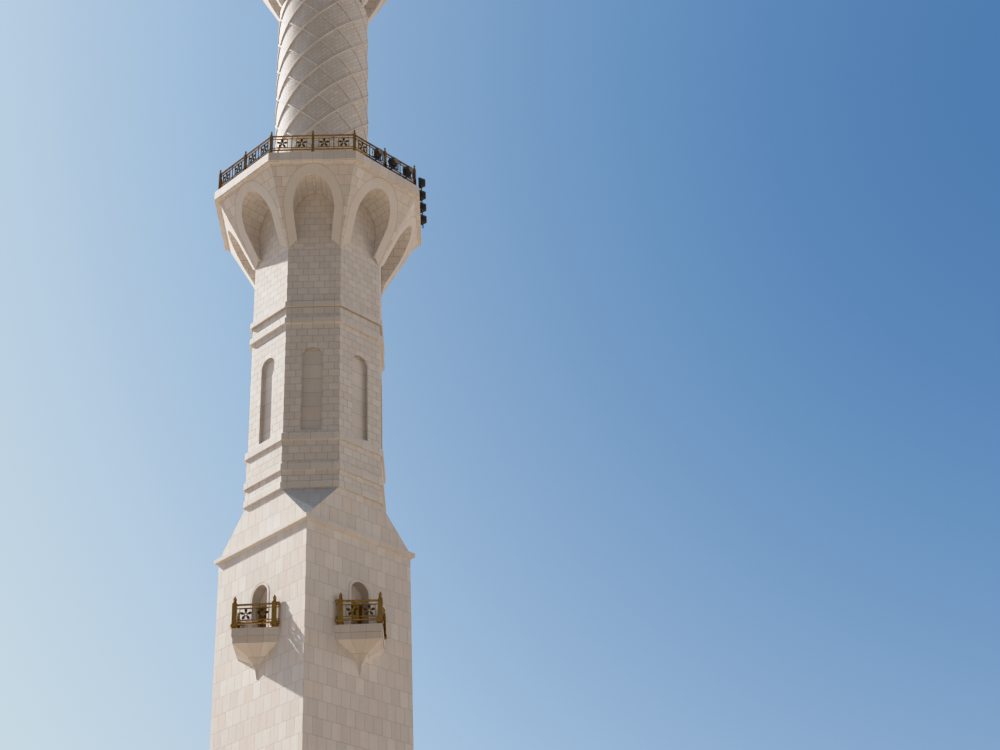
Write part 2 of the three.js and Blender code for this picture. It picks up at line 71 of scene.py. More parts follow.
# %% Camera
YAW, PITCH, ROLL = math.radians(47.487), math.radians(31.410), math.radians(-2.981)
CAMERA_PLACE = (-5.3325, -6.357, 0.060)
ahead = Vector((math.sin(YAW) * math.cos(PITCH), math.cos(YAW) * math.cos(PITCH), math.sin(PITCH)))
level = Vector((math.cos(YAW), -math.sin(YAW), 0))
rise = level.cross(ahead)
right = math.cos(ROLL) * level + math.sin(ROLL) * rise
upward = -math.sin(ROLL) * level + math.cos(ROLL) * rise
lens = bpy.data.cameras.new("photo_lens")
lens.sensor_width, lens.lens = 36, 58.51
lens.clip_start, lens.clip_end = 0.1, 1000
camera = bpy.data.objects.new("photo_camera", lens)
bpy.context.scene.collection.objects.link(camera)
turned = Matrix((right, upward, -ahead)).transposed().to_4x4()
camera.matrix_world = Matrix.Translation(CAMERA_PLACE) @ turned
bpy.context.scene.camera = camera
print("camera looks up by", round(math.degrees(PITCH), 1), "degrees")

# %% [markdown]
# ## Floor and light
# A plain pale floor throws warm light up under the corbels and balconies. It is a wide disc, so that no
# corner of it shows from any side. The key light is a sun that grazes the left face, as the shadow of the
# small balcony there shows. Two very soft suns stand for the glow of the sky beside the key and for the
# light that comes back from the right. They stay out of reflections, and the world gives a low even fill.

# %% Floor and lamps
FLOOR_RADIUS = 420
SUN_PATH = Vector((1, -3.3, -2.87)).normalized()
bpy.ops.mesh.primitive_circle_add(vertices=96, radius=FLOOR_RADIUS, fill_type="NGON", location=(0, 0, 0))
floor = bpy.context.object
floor.name = "studio_floor"


def soft_sun(name, path, energy, degrees, colour, reflected=False):
    data = bpy.data.lights.new(name, "SUN")
    data.energy, data.angle, data.color = energy, math.radians(degrees), colour
    lamp = bpy.data.objects.new(name, data)
    lamp.rotation_euler = Vector(path).to_track_quat("-Z", "Y").to_euler()
    lamp.visible_glossy = reflected
    bpy.context.scene.collection.objects.link(lamp)
    return lamp


key_sun = soft_sun("key_sun", SUN_PATH, 6.0, 1.2, (1, 0.965, 0.92), reflected=True)
soft_sun("sky_glow", (0.55, -0.68, -0.50), 1.12, 50, (0.70, 0.79, 1.0))
soft_sun("right_fill", (-0.77, 0.64, -0.22), 1.01, 45, (1.0, 0.94, 0.93))
print("sun comes from", [round(-v, 2) for v in SUN_PATH])

# %% [markdown]
# ## Wiring nodes
# Every finish here is made of nodes. A few small helpers keep the wiring readable. The first adds a node
# and fills its sockets with numbers or with links, and finds the node tree from a socket that it is given.
# The others stand for the sums, noises and mixes that all finishes use, so a finish reads like a formula.

# %% Node helpers
def is_socket(value):
    return isinstance(value, bpy.types.NodeSocket)


def add_node(kind, sockets=None, tree=None, **settings):
    sockets = sockets or {}
    tree = tree or next(value.id_data for value in sockets.values() if is_socket(value))
    made = tree.nodes.new("ShaderNode" + kind)
    for key, value in settings.items():
        setattr(made, key, value)
    for key, value in sockets.items():
        if is_socket(value):
            tree.links.new(value, made.inputs[key])
        else:
            made.inputs[key].default_value = value
    return made


def link(start, end):
    start.id_data.links.new(start, end)


def maths(operation, *values):
    return add_node("Math", dict(enumerate(values)), operation=operation).outputs[0]


def plus(first, second):
    return maths("ADD", first, second)


def minus(first, second):
    return maths("SUBTRACT", first, second)


def times(first, second):
    return maths("MULTIPLY", first, second)


def over(first, second):
    return maths("DIVIDE", first, second)


def more(first, second):
    return maths("GREATER_THAN", first, second)


def less(first, second):
    return maths("LESS_THAN", first, second)


def most(first, second):
    return maths("MAXIMUM", first, second)


def apart(first, second):
    return maths("ABSOLUTE", minus(first, second))


# %% Helpers for vectors, noises and mixes
def split(vector):
    return add_node("SeparateXYZ", {0: vector}).outputs


def length_of(vector):
    return add_node("VectorMath", {0: vector}, operation="LENGTH").outputs["Value"]


def flat_length(x, y):
    return length_of(add_node("CombineXYZ", {0: x, 1: y}).outputs[0])


def noise(place, scale, detail, roughness=0.5, distortion=0.0):
    sockets = {"Vector": place, "Scale": scale, "Detail": detail, "Roughness": roughness, "Distortion": distortion}
    return add_node("TexNoise", sockets).outputs[0]


def ranged(value, low, high, to_low=0.0, to_high=1.0, **settings):
    sockets = {"Value": value, "From Min": low, "From Max": high, "To Min": to_low, "To Max": to_high}
    return add_node("MapRange", sockets, **settings).outputs["Result"]


def mixed(factor, first, second, blend="MIX"):
    first, second = (colour if is_socket(colour) else (*colour, 1) for colour in (first, second))
    return add_node("Mix", {0: factor, 6: first, 7: second}, data_type="RGBA", blend_type=blend).outputs[2]


def either(mask, first, second):
    return add_node("Mix", {0: mask, 2: first, 3: second}, data_type="FLOAT").outputs[0]


def new_group(name, ins, outs):
    tree = bpy.data.node_groups.new(name, "ShaderNodeTree")
    for title, kind in ins.items():
        tree.interface.new_socket(title, in_out="INPUT", socket_type="NodeSocket" + kind)
    for title in outs:
        tree.interface.new_socket(title, in_out="OUTPUT", socket_type="NodeSocketFloat")
    return tree, tree.nodes.new("NodeGroupInput").outputs, tree.nodes.new("NodeGroupOutput").inputs


def use_group(group, sockets):
    return add_node("Group", sockets, node_tree=group).outputs


# %% [markdown]
# ## The backdrop
# Behind the tower is a plain wash of pale blue paper, lighter on the left as in the photograph. Only the
# camera sees it: for light the world is an even dim blue, and in reflections it is a soft grey room, so
# that the metals have something to show. The view stays "Standard", with a curve that leaves the middle
# tones alone and bends the brightest ones, so the sunlit marble keeps its joints.

# %% Backdrop
PAPER_TONES = {
    0.13: (0.56, 0.68, 0.80), 0.36: (0.463, 0.60, 0.77), 0.52: (0.359, 0.515, 0.705),
    0.70: (0.252, 0.400, 0.612), 0.86: (0.151, 0.301, 0.531), 0.94: (0.105, 0.241, 0.481),
}
world = bpy.data.worlds.new("soft_room")
bpy.context.scene.world = world
world.use_nodes = True
room = world.node_tree
room_light = room.nodes["Background"]
room_light.inputs["Color"].default_value = (0.050, 0.085, 0.130, 1)
direction = add_node("TexCoord", tree=room).outputs["Generated"]
across = add_node("VectorMath", {0: direction, 1: (0.758, 0.218, 0.614)}, operation="DOT_PRODUCT").outputs["Value"]
fade = add_node("ValToRGB", {"Fac": ranged(across, 0.70, 1.0)})
ramp = fade.color_ramp.elements
ramp[0].color, ramp[1].color = (0.60, 0.71, 0.81, 1), (0.076, 0.198, 0.430, 1)
for position, blue in PAPER_TONES.items():
    ramp.new(position).color = (*blue, 1)
paper = add_node("Background", {"Color": fade.outputs["Color"]})
grey_room = add_node("Background", {"Color": (0.28, 0.30, 0.34, 1)}, tree=room)
seen = add_node("LightPath", tree=room).outputs
unseen = add_node("MixShader", {0: seen["Is Glossy Ray"], 1: room_light.outputs[0], 2: grey_room.outputs[0]})
choice = add_node("MixShader", {0: seen["Is Camera Ray"], 1: unseen.outputs[0], 2: paper.outputs[0]})
link(choice.outputs[0], room.nodes["World Output"].inputs["Surface"])
print("backdrop has", len(ramp), "tones")

# %% Exposure curve
BRIGHTEST = 2.2
view = bpy.context.scene.view_settings
view.view_transform = "Standard"
view.use_curve_mapping = True
curves = view.curve_mapping
curves.white_level = (BRIGHTEST, BRIGHTEST, BRIGHTEST)
brightness = curves.curves[3]
brightness.points[1].location = (1.0, 1.0)
for light, shown in ((0.35, 0.35), (0.70, 0.70), (0.95, 0.84), (1.25, 0.925), (1.65, 0.975)):
    brightness.points.new(light / BRIGHTEST, shown)
for knot in list(brightness.points)[:3]:
    knot.handle_type = "VECTOR"
curves.update()
print("exposure curve has", len(brightness.points), "points")

# %% [markdown]
# ## Laying out the faces
# Stones run level round the tower, whatever way a face looks. A group turns each point of a tower with
# four or eight sides into the frame of its own side: how far out, how far along the side, and how high.
# The turn is the point's own bearing, rounded to the nearest side, so no unwrapping is needed. Where sides
# meet askew, as on the broach, the way the face looks is used in place of the bearing.

# %% Face layout group
face_layout, given, result = new_group(
    "face layout", {"Position": "Vector", "Facing": "Vector", "Sides": "Float"}, ("Out", "Along", "Up")
)
looking = split(given["Facing"])
side_angle = over(math.tau, given["Sides"])
side_number = maths("ROUND", over(maths("ARCTAN2", looking[1], looking[0]), side_angle))
back_turn = times(times(side_number, side_angle), -1.0)
own_side = add_node("VectorRotate", {"Vector": given["Position"], "Angle": back_turn}, rotation_type="Z_AXIS")
for title, socket in zip(("Out", "Along", "Up"), split(own_side.outputs[0])):
    link(socket, result[title])
print("group", face_layout.name, "has", len(face_layout.nodes), "nodes")


def laid_out(place, sides, facing=None):
    return use_group(face_layout, {"Position": place, "Facing": facing or place, "Sides": float(sides)})


# %% [markdown]
# ## Running bond
# Thin marble slabs are hung in level courses, each course shifted by half a slab. The group numbers the
# course and the slab, measures how near the point is to a joint, and gives each slab a random value, so
# that neighbours differ a little in tone as sawn marble does.

# %% Running bond group
BOND = ("Joint", "Slab", "Second slab")
bond_sizes = ("Along", "Up", "Width", "Height", "Joint", "First course", "Seed")
running_bond, given, result = new_group("running bond", dict.fromkeys(bond_sizes, "Float"), BOND)
rows = over(minus(given["Up"], given["First course"]), given["Height"])
row = maths("FLOOR", rows)
shift = times(maths("FLOORED_MODULO", row, 2.0), 0.5)
columns = plus(over(given["Along"], given["Width"]), shift)
column = maths("FLOOR", columns)


def to_joint(cells, number, size):
    return times(minus(0.5, apart(minus(cells, number), 0.5)), size)


nearest = maths("MINIMUM", to_joint(columns, column, given["Width"]), to_joint(rows, row, given["Height"]))
half_joint = times(given["Joint"], 0.5)
soft = ranged(nearest, times(half_joint, 0.5), times(half_joint, 1.5), 1.0, 0.0, interpolation_type="SMOOTHSTEP")
slab_name = add_node("CombineXYZ", {0: column, 1: row, 2: given["Seed"]}).outputs[0]
chance = add_node("TexWhiteNoise", {"Vector": slab_name}, noise_dimensions="3D").outputs["Color"]
chances = add_node("SeparateColor", {0: chance}).outputs
for title, socket in zip(BOND, (soft, chances[0], chances[1])):
    link(socket, result[title])
print("group", running_bond.name, "has", len(running_bond.nodes), "nodes")


def bond_of(along, up, width, course, first, joint, seed):
    outputs = use_group(running_bond, dict(zip(bond_sizes, (along, up, width, course, joint, first, float(seed)))))
    return {key: outputs[key] for key in BOND}


def choose_bond(mask, first, second):
    return {key: either(mask, first[key], second[key]) for key in BOND}


# %% [markdown]
# ## The marble itself
# Up close the stone has soft grey clouds and a few thin veins, and a honed face that is slightly uneven.
# One group gives a cloud value, a vein mask and a fine grain for every stone finish. Each slab shifts
# the pattern by its own random value, so veins stop at the joints as they do in real cladding.

# %% Marble body group
SLAB_JUMP = 7.0
marble_body, given, result = new_group(
    "marble body", {"Position": "Vector", "Slab": "Float"}, ("Cloud", "Vein", "Grain")
)
jump = times(given["Slab"], SLAB_JUMP)
moved = add_node("VectorMath", {0: given["Position"], 1: jump}, operation="ADD").outputs[0]
link(noise(moved, 9.0, 4.0), result["Cloud"])
vein_line = apart(noise(moved, 16.0, 5.0, roughness=0.62, distortion=1.4), 0.5)
link(ranged(vein_line, 0.0, 0.035, 1.0, 0.0), result["Vein"])
link(noise(given["Position"], 420.0, 3.0), result["Grain"])
print("group", marble_body.name, "has", len(marble_body.nodes), "nodes")

# %% [markdown]
# ## Weather on the stone
# Desert dust settles on the stone and rain draws it down in faint warm streaks. The group stretches a
# noise along the height and breaks it with a broad noise, and gives one mask that the stone finishes mix in.

# %% Weather group
STREAK_SCALE = (24.0, 24.0, 1.6)
weather, given, result = new_group("weather", {"Position": "Vector"}, ("Dust",))
tall_place = add_node("Mapping", {"Vector": given["Position"], "Scale": STREAK_SCALE}).outputs[0]
streaks = times(noise(tall_place, 1.0, 4.0), noise(given["Position"], 1.7, 3.0))
link(ranged(streaks, 0.2, 0.42), result["Dust"])
print("group", weather.name, "has", len(weather.nodes), "nodes")

# %% [markdown]
# ## Stone finishes
# All stone is one marble, cut and laid in different ways. A helper makes a finish from a bond and a base
# colour: the joints are filled with a beige grout and sit slightly back, each slab has its own tone, and the
# clouds, veins and dust lie over all. Colours and bump change over the surface, so they are linked. A value
# that is the same all over, such as the specular level, is set on the shader's own socket.

# %% Stone finish helper
SLAB_GROUT, NET_GROUT, BLOCK_GROUT = (0.53, 0.44, 0.355), (0.45, 0.38, 0.31), (0.40, 0.335, 0.275)
VEIN_GREY, DUST_TONE = (0.50, 0.46, 0.42), (0.60, 0.49, 0.37)


def start_finish(name):
    material = bpy.data.materials.new(name)
    material.use_nodes = True
    place = add_node("TexCoord", tree=material.node_tree).outputs["Object"]
    return material, place, material.node_tree.nodes["Principled BSDF"]


def bumped(shader, height, strength, distance):
    bump = add_node("Bump", {"Height": height, "Strength": strength, "Distance": distance})
    link(bump.outputs[0], shader.inputs["Normal"])


def stone_surface(place, shader, bond, base, contrast=1.0, grout=SLAB_GROUT, shade=None):
    joint, slab, second = (bond[key] for key in BOND)
    body = use_group(marble_body, {"Position": place, "Slab": slab})
    dust = use_group(weather, {"Position": place})["Dust"]
    light = [min(1.0, c * (1 + 0.10 * contrast)) for c in base]
    dark = [c * (1 - 0.13 * contrast) for c in base]
    rosy = (base[0] * 0.97, base[1] * 0.90, base[2] * 0.86)
    tone = mixed(slab, dark, light)
    tone = mixed(times(more(second, 0.72), 0.55), tone, rosy)
    tone = mixed(times(body["Cloud"], 0.28), tone, [c * 0.80 for c in base])
    tone = mixed(times(body["Vein"], 0.16), tone, VEIN_GREY)
    tone = mixed(times(dust, 0.20), tone, DUST_TONE)
    tone = mixed(times(joint, 0.75), tone, grout)
    # shade is a mask and a colour of painted shade, multiplied into the tone.
    if shade:
        tone = mixed(shade[0], tone, shade[1], "MULTIPLY")
    link(tone, shader.inputs["Base Color"])
    rough = ranged(body["Grain"], 0.3, 0.7, 0.62, 0.8)
    link(most(rough, times(joint, 0.9)), shader.inputs["Roughness"])
    shader.inputs["Specular IOR Level"].default_value = 0.22
    height = plus(times(joint, -1.0), times(body["Grain"], 0.06))
    bumped(shader, plus(height, times(slab, 0.12)), 0.7, 0.0015)


# %% [markdown]
# ## Laid stone
# Most of the tower is clad in one of a few bonds. The table below gives each its sides, the size of its
# stones and joints and the height of its first course. On the square shaft the reveals of the doorways have
# no joints and are darkened with painted shade, and on the broach the corner triangles get painted shade, a
# little darker and bluer. The bands of the octagon stand proud of it, so their longer stones are told by the
# distance from the axis.

# %% Laid stone
CREAM, PALE = (0.77, 0.715, 0.655), (0.79, 0.735, 0.67)
COURSE, FIRST_COURSE, SLAB, BLOCK = 0.0923, 2.769, 0.0625, 0.06213
ONE_COURSE = 9.0
WALL_FACE, BAND_FACE = 0.375, 0.3835
# Colours multiplied into the stone as painted shade: doorway reveals, broach corners and niche jambs.
REVEAL_PAINTED_SHADE, CORNER_PAINTED_SHADE, JAMB_PAINTED_SHADE = (0.74, 0.72, 0.70), (0.86, 0.93, 1.0), (0.76, 0.74, 0.72)


def laid_stone(name, sides, width, course, first, joint, base, seed, contrast, grout=SLAB_GROUT,
               band_from=None, face=None, corners=None):
    material, place, shader = start_finish(name)
    facing = place.node.outputs["Normal"] if corners else place
    layout = laid_out(place, sides, facing)
    bond = bond_of(layout["Along"], layout["Up"], width, course, first, joint, seed)
    shade = None
    if band_from:
        long_stones = bond_of(layout["Along"], layout["Up"], BLOCK * 2, ONE_COURSE, 0.0, joint, seed + 20)
        bond = choose_bond(more(layout["Out"], band_from), bond, long_stones)
    # Inside the wall face the joints are left out and the reveals are darkened with painted shade.
    if face:
        front = more(layout["Out"], face - 0.001)
        bond["Joint"] = times(bond["Joint"], front)
        shade = (minus(1.0, front), REVEAL_PAINTED_SHADE)
    # The askew corner faces of the broach get painted shade, a little darker and bluer, as faces lit only by the sky.
    if corners:
        looks = split(facing)
        askew = maths("ABSOLUTE", times(looks[0], looks[1]))
        shade = (more(askew, 0.1), corners)
    stone_surface(place, shader, bond, base, contrast, grout, shade)
    return material


square_stone = laid_stone("square cladding", 4, SLAB, COURSE, FIRST_COURSE, 0.0022, CREAM, 1, 0.75, face=WALL_FACE)
broach_stone = laid_stone(
    "broach cladding", 8, SLAB, COURSE, FIRST_COURSE, 0.0022, CREAM, 8, 0.75, corners=CORNER_PAINTED_SHADE
)
octagon_stone = laid_stone(
    "octagon cladding", 8, BLOCK, COURSE / 2, 5.522, 0.0024, CREAM, 2, 0.6, BLOCK_GROUT, band_from=BAND_FACE
)
fascia_stone = laid_stone("fascia stone", 8, 0.0667, ONE_COURSE, 0.0, 0.0018, PALE, 3, 0.8)
cornice_stone = laid_stone("cornice stone", 4, SLAB * 2, ONE_COURSE, 0.0, 0.0018, PALE, 9, 0.6)
lantern_stone = laid_stone("lantern stone", 8, 0.085, 0.11, 8.506, 0.0014, PALE, 10, 0.6)
print("stone finishes:", [m.name for m in bpy.data.materials if m.name.endswith(("stone", "cladding"))])

# %% [markdown]
# ## The niche row
# The niches have tall plain panels set back from the small blocks round them. The bond of the panels is
# one slab wide and a full course high, and the depth of a point says which bond it belongs to. The jambs
# between the face and the back are darkened with painted shade.

# %% Niche row finish
NICHE_EDGE, NICHE_BACK = 0.3745, 0.3538
niche_stone, place, shader = start_finish("niche row cladding")
layout = laid_out(place, 8)
blocks = bond_of(layout["Along"], layout["Up"], BLOCK, COURSE / 2, 5.234, 0.0024, 4)
panels = bond_of(0.1, layout["Up"], 0.4, COURSE, 4.9109, 0.0024, 5)
set_back = less(layout["Out"], NICHE_EDGE)
# The jambs of the niches get painted shade.
jamb = times(set_back, more(layout["Out"], NICHE_BACK))
bond = choose_bond(set_back, blocks, panels)
stone_surface(place, shader, bond, CREAM, 0.6, BLOCK_GROUT, (jamb, JAMB_PAINTED_SHADE))
print("niche finish has", len(niche_stone.node_tree.nodes), "nodes")

# %% [markdown]
# ## The flared balconies
# Each sloping face of the flare has a tall arch with a smooth band round it, outlined by a thin line. The
# rest is laid in courses. Inside the arch the vault is lined with small stones, and the octagon's wall goes
# on behind it. All of it is found from the distance to the arch's outline and from the depth. The arch is
# half an ellipse, whose distance comes from its own slope, on two legs that lean inwards.

# %% Flare finish
BAND_WIDE, LINE_FROM, LINE_HALF = 0.053, 0.055, 0.0011
SMOOTH = {"Joint": 0.0, "Slab": 0.5, "Second slab": 0.3}


def flare_finish(name, foot, shaft, lean, half, middle, rise, leg_lean, seed):
    material, place, shader = start_finish(name)
    layout = laid_out(place, 8)
    out, along, up = layout["Out"], layout["Along"], layout["Up"]
    aside, above = maths("ABSOLUTE", along), minus(up, middle)
    wide, tall = over(aside, half), over(above, rise)
    ring = flat_length(wide, tall)
    steepness = flat_length(over(wide, half), over(tall, rise))
    from_arch = over(times(minus(ring, 1.0), ring), steepness)
    from_leg = minus(aside, maths("MULTIPLY_ADD", above, leg_lean, half))
    high = more(above, 0.0)
    distance = either(high, from_leg, from_arch)
    depth = minus(maths("MULTIPLY_ADD", minus(up, foot), lean, shaft), out)
    inside = more(depth, 0.003)
    at_wall = times(inside, less(out, shaft + 0.0015))

    courses = bond_of(along, up, 0.0621, COURSE * 0.6, foot, 0.0018, seed)
    face = choose_bond(less(distance, BAND_WIDE), courses, SMOOTH)
    face["Joint"] = most(face["Joint"], less(apart(distance, LINE_FROM), LINE_HALF))

    wall = bond_of(along, up, BLOCK, COURSE / 2, 5.522, 0.0020, seed + 1)
    sweep = times(maths("ARCTAN2", tall, wide), (half + rise) / 2)
    lining = bond_of(out, either(high, above, sweep), 0.07, 0.046, 0.0, 0.0028, seed + 2)
    hidden = choose_bond(at_wall, lining, wall)
    hidden["Joint"] = most(hidden["Joint"], less(apart(out, shaft + 0.003), 0.0015))
    stone_surface(place, shader, choose_bond(inside, face, hidden), CREAM, 0.9, BLOCK_GROUT)
    return material


main_flare_stone = flare_finish("main flare stone", 5.814, WALL_FACE, 0.5066, 0.124, 6.032, 0.182, 0.133, 11)
upper_flare_stone = flare_finish("upper flare stone", 8.030, 0.2744, 0.483, 0.092, 8.200, 0.164, 0.1045, 14)
print("flare finish has", len(main_flare_stone.node_tree.nodes), "nodes")

# %% [markdown]
# ## The pointed balconies
# A pointed balcony is built of three stones a side, whose joints run down to the pendant like the seams of
# a bag. The share of the way from the wall to the point gives them at every height. Low down only one
# joint is left in the middle, below a level joint. The underside of the step in its rim gets a thin line of
# painted shade.

# %% Balcony finish
DECK_SMALL = 3.386
LEVEL_JOINT, STEP_LEVEL = DECK_SMALL - 0.130, DECK_SMALL - 0.043
THIRD_OF_SIDE, HALF_OF_SIDE, SIDE = 0.08, 0.12, 0.24
STEP_PAINTED_SHADE = (0.72, 0.66, 0.60)
balcony_stone, place, shader = start_finish("balcony stone")
layout = laid_out(place, 4)
aside = maths("ABSOLUTE", layout["Along"])
reach = plus(minus(layout["Out"], WALL_FACE), aside)
share = times(over(aside, most(reach, 0.004)), SIDE)
thirds = bond_of(share, layout["Up"], THIRD_OF_SIDE, ONE_COURSE, 0.0, 0.0022, 17)
halves = bond_of(share, layout["Up"], HALF_OF_SIDE, ONE_COURSE, 0.0, 0.0036, 18)
bond = choose_bond(less(layout["Up"], LEVEL_JOINT), thirds, halves)
bond["Joint"] = most(bond["Joint"], less(apart(layout["Up"], LEVEL_JOINT), 0.0011))
# A thin line of painted shade under the step.
under_step = less(apart(layout["Up"], STEP_LEVEL), 0.0008)
stone_surface(place, shader, bond, PALE, 0.7, shade=(under_step, STEP_PAINTED_SHADE))
print("balcony finish has", len(balcony_stone.node_tree.nodes), "nodes")

# %% [markdown]
# ## The net's finish
# On the round shaft small blocks lie along the ribs, between two families that climb left and right. The
# bearing times the radius gives the distance round the shaft, and turning that and the height by
# forty-five degrees gives the two directions of the net. A dark seam runs along the lower edge of each rib:
# a grout joint, and also painted shade that the rib casts below it.

# %% Net finish
SHAFT_RADIUS, RIB_PITCH, RIB_CROSSING, RIB_HALF = 0.297, 1.886, 8.024, 0.0085
RIB_SPACING = RIB_PITCH / 8


def net_finish(name, base, joint_size, contrast, seed, seam=None):
    material, place, shader = start_finish(name)
    point = split(place)
    distance = times(maths("ARCTAN2", point[1], point[0]), RIB_PITCH / math.tau)
    height = minus(point[2], RIB_CROSSING)
    climb, fall = minus(height, distance), plus(height, distance)
    bond = bond_of(fall, climb, RIB_SPACING / 4, RIB_SPACING / 7, 0.0, joint_size, seed)
    # The seam below each rib is a grout joint and also painted shade cast by the rib.
    for way in (climb, fall) if seam else ():
        under_rib = maths("FLOORED_MODULO", way, RIB_SPACING)
        bond["Joint"] = most(bond["Joint"], more(under_rib, RIB_SPACING - RIB_HALF - seam))
    stone_surface(place, shader, bond, base, contrast, NET_GROUT)
    return material


net_stone = net_finish("net infill", CREAM, 0.0028, 0.6, 6, seam=0.0045)
rib_stone = net_finish("rib stone", (0.80, 0.745, 0.68), 0.0006, 0.5, 7)
print("net spacing", round(RIB_SPACING * 1000), "mm")

# %% [markdown]
# ## Metal finishes
# The small balconies have a polished golden bronze. The large balustrades take a darker copy of it, which
# paints in the shade they are seen in, and the star petals a still darker one, painted shade as well. The
# dome and its finial are gilded, and the floodlights are coated black with a brown back plate. One helper
# mixes a bright and a dull tone by a noise, and the same noise makes the dull places rougher, as on metal
# that is handled and weathered.

# %% Metal finishes
def metal_finish(name, bright, dull, rough_low, rough_high, scale, metallic=1.0, uneven=0.25):
    material, place, shader = start_finish(name)
    patina = noise(place, scale, 5.0, roughness=0.65)
    link(mixed(ranged(patina, 0.35, 0.68), bright, dull), shader.inputs["Base Color"])
    link(ranged(patina, 0.3, 0.7, rough_low, rough_high), shader.inputs["Roughness"])
    shader.inputs["Metallic"].default_value = metallic
    bumped(shader, noise(place, scale * 6, 3.0), uneven, 0.0006)
    return material


bronze = metal_finish("golden bronze", (0.44, 0.240, 0.050), (0.27, 0.140, 0.030), 0.10, 0.22, 60.0, uneven=0.08)
# A darker copy of the bronze: painted shade for the main balustrades.
shaded_rail_bronze = metal_finish("shaded rail bronze", (0.32, 0.180, 0.050), (0.19, 0.104, 0.030), 0.16, 0.30, 60.0, uneven=0.08)
# Darkest copy of the bronze: painted shade for the star petals and the CAD gates.
shaded_bronze = metal_finish("shaded bronze", (0.120, 0.068, 0.026), (0.060, 0.035, 0.016), 0.3, 0.5, 50.0)
gold_leaf = metal_finish("gold leaf", (0.86, 0.60, 0.20), (0.62, 0.38, 0.10), 0.18, 0.36, 22.0)
black_coat = metal_finish("black coat", (0.008, 0.008, 0.009), (0.022, 0.019, 0.017), 0.5, 0.7, 70.0, 0.0)
lamp_plate = metal_finish("lamp plate", (0.30, 0.235, 0.18), (0.17, 0.13, 0.10), 0.45, 0.7, 40.0, 0.0)
print("metal finishes:", [m.name for m in (bronze, shaded_rail_bronze, shaded_bronze, gold_leaf, black_coat, lamp_plate)])

# %% [markdown]
# ## Dressing the CAD nodes
# The solids whose shape is already right keep their mesh and get a finish. The names of the nodes say
# what they are, so a short table of name beginnings is enough.

# %% Finishes of the CAD nodes
# The CAD gates take the darkest bronze, which is painted shade.
finish_table = [
    ("shaft_wall", square_stone), ("corner_pier", square_stone), ("door_arch", square_stone),
    ("balcony_level_floor", square_stone), ("broach", broach_stone), ("square_cornice", cornice_stone),
    ("octagon_base", octagon_stone), ("octagon_shaft", niche_stone), ("octagon_upper", octagon_stone),
    ("main_balcony_flare", main_flare_stone), ("main_balcony_slab", fascia_stone), ("small_balcony", balcony_stone),
    ("round_shaft", net_stone), ("rib_net", rib_stone), ("upper_balcony_flare", upper_flare_stone),
    ("upper_balcony_slab", fascia_stone), ("lantern", lantern_stone), ("dome", gold_leaf),
    ("finial", gold_leaf), ("floodlight", black_coat), ("door_gate", shaded_bronze),
    ("small_railing", bronze), ("main_railing", bronze), ("upper_railing", bronze),
]
for name, node_object in nodes.items():
    finish = next(material for start, material in finish_table if name.startswith(start))
    node_object.material_slots[0].material = finish
print("dressed", len(nodes), "nodes")

# %% [markdown]
# ## The floor's finish
# The floor is mottled like a pale court. It is a little darker far off, so the tower's foot gets more of
# its light than the top does.

# %% Floor finish
FLOOR_DARK, FLOOR_LIGHT, FLOOR_FAR = (0.40, 0.322, 0.246), (0.44, 0.355, 0.27), (0.205, 0.175, 0.145)
floor_finish, place, shader = start_finish("floor finish")
near_tone = mixed(noise(place, 0.6, 4.0), FLOOR_DARK, FLOOR_LIGHT)
far_off = ranged(length_of(place), 6.0, 48.0, interpolation_type="SMOOTHSTEP")
link(mixed(far_off, near_tone, FLOOR_FAR), shader.inputs["Base Color"])
shader.inputs["Roughness"].default_value = 0.8
floor.data.materials.append(floor_finish)
print("floor finish has", len(floor_finish.node_tree.nodes), "nodes")

# %% [markdown]
# ## Modelling helpers
# New pieces are modelled as by hand. An operator acts on all that is selected, so a helper first leaves
# only one piece selected. Others begin a piece from a primitive, go into edit mode and back, pick points
# or faces by a test, and extrude or resize what is picked.

# %% Selecting and editing
def only(piece):
    bpy.ops.object.select_all(action="DESELECT")
    bpy.context.view_layer.objects.active = piece
    piece.select_set(True)


def begin(name, add, **where):
    bpy.ops.object.select_all(action="DESELECT")
    add(**where)
    piece = bpy.context.object
    piece.name = piece.data.name = name
    return piece


def edit(piece):
    only(piece)
    bpy.ops.object.mode_set(mode="EDIT")
    bpy.ops.mesh.select_all(action="SELECT")


def leave_edit():
    bpy.ops.object.mode_set(mode="OBJECT")


def pick(kind, test):
    mesh = bmesh.from_edit_mesh(bpy.context.object.data)
    bpy.ops.mesh.select_mode(type=kind)
    bpy.ops.mesh.select_all(action="DESELECT")
    for element in mesh.verts if kind == "VERT" else mesh.faces:
        if test(element):
            element.select = True
    mesh.select_flush_mode()
    bmesh.update_edit_mesh(bpy.context.object.data)


def extrude(x, y, z):
    bpy.ops.mesh.extrude_region_move(TRANSFORM_OT_translate={"value": (x, y, z)})


def resize(x, y, z, centre):
    bpy.ops.transform.resize(value=(x, y, z), center_override=centre)


# %% [markdown]
# ## Finishing helpers
# A modifier is added and applied at once, so a piece holds nothing live. A piece is finished when its place
# is in its mesh, its normals point outward, its smooth and sharp edges are told apart by their angle, and
# it rides on the tower. Repeats are copies with their own meshes, turned round the tower's axis.

# %% Applying, copying and handing over
COMPASS = ("south", "east", "north", "west")


def settle(piece):
    only(piece)
    bpy.ops.object.transform_apply(location=True, rotation=True, scale=True)


def modify(piece, kind, **settings):
    only(piece)
    made = piece.modifiers.new(kind.lower(), kind)
    for key, value in settings.items():
        setattr(made, key, value)
    bpy.ops.object.modifier_apply(modifier=made.name)


def cut_out(piece, cutter):
    modify(piece, "BOOLEAN", operation="DIFFERENCE", solver="EXACT", object=cutter)
    bpy.data.objects.remove(cutter)


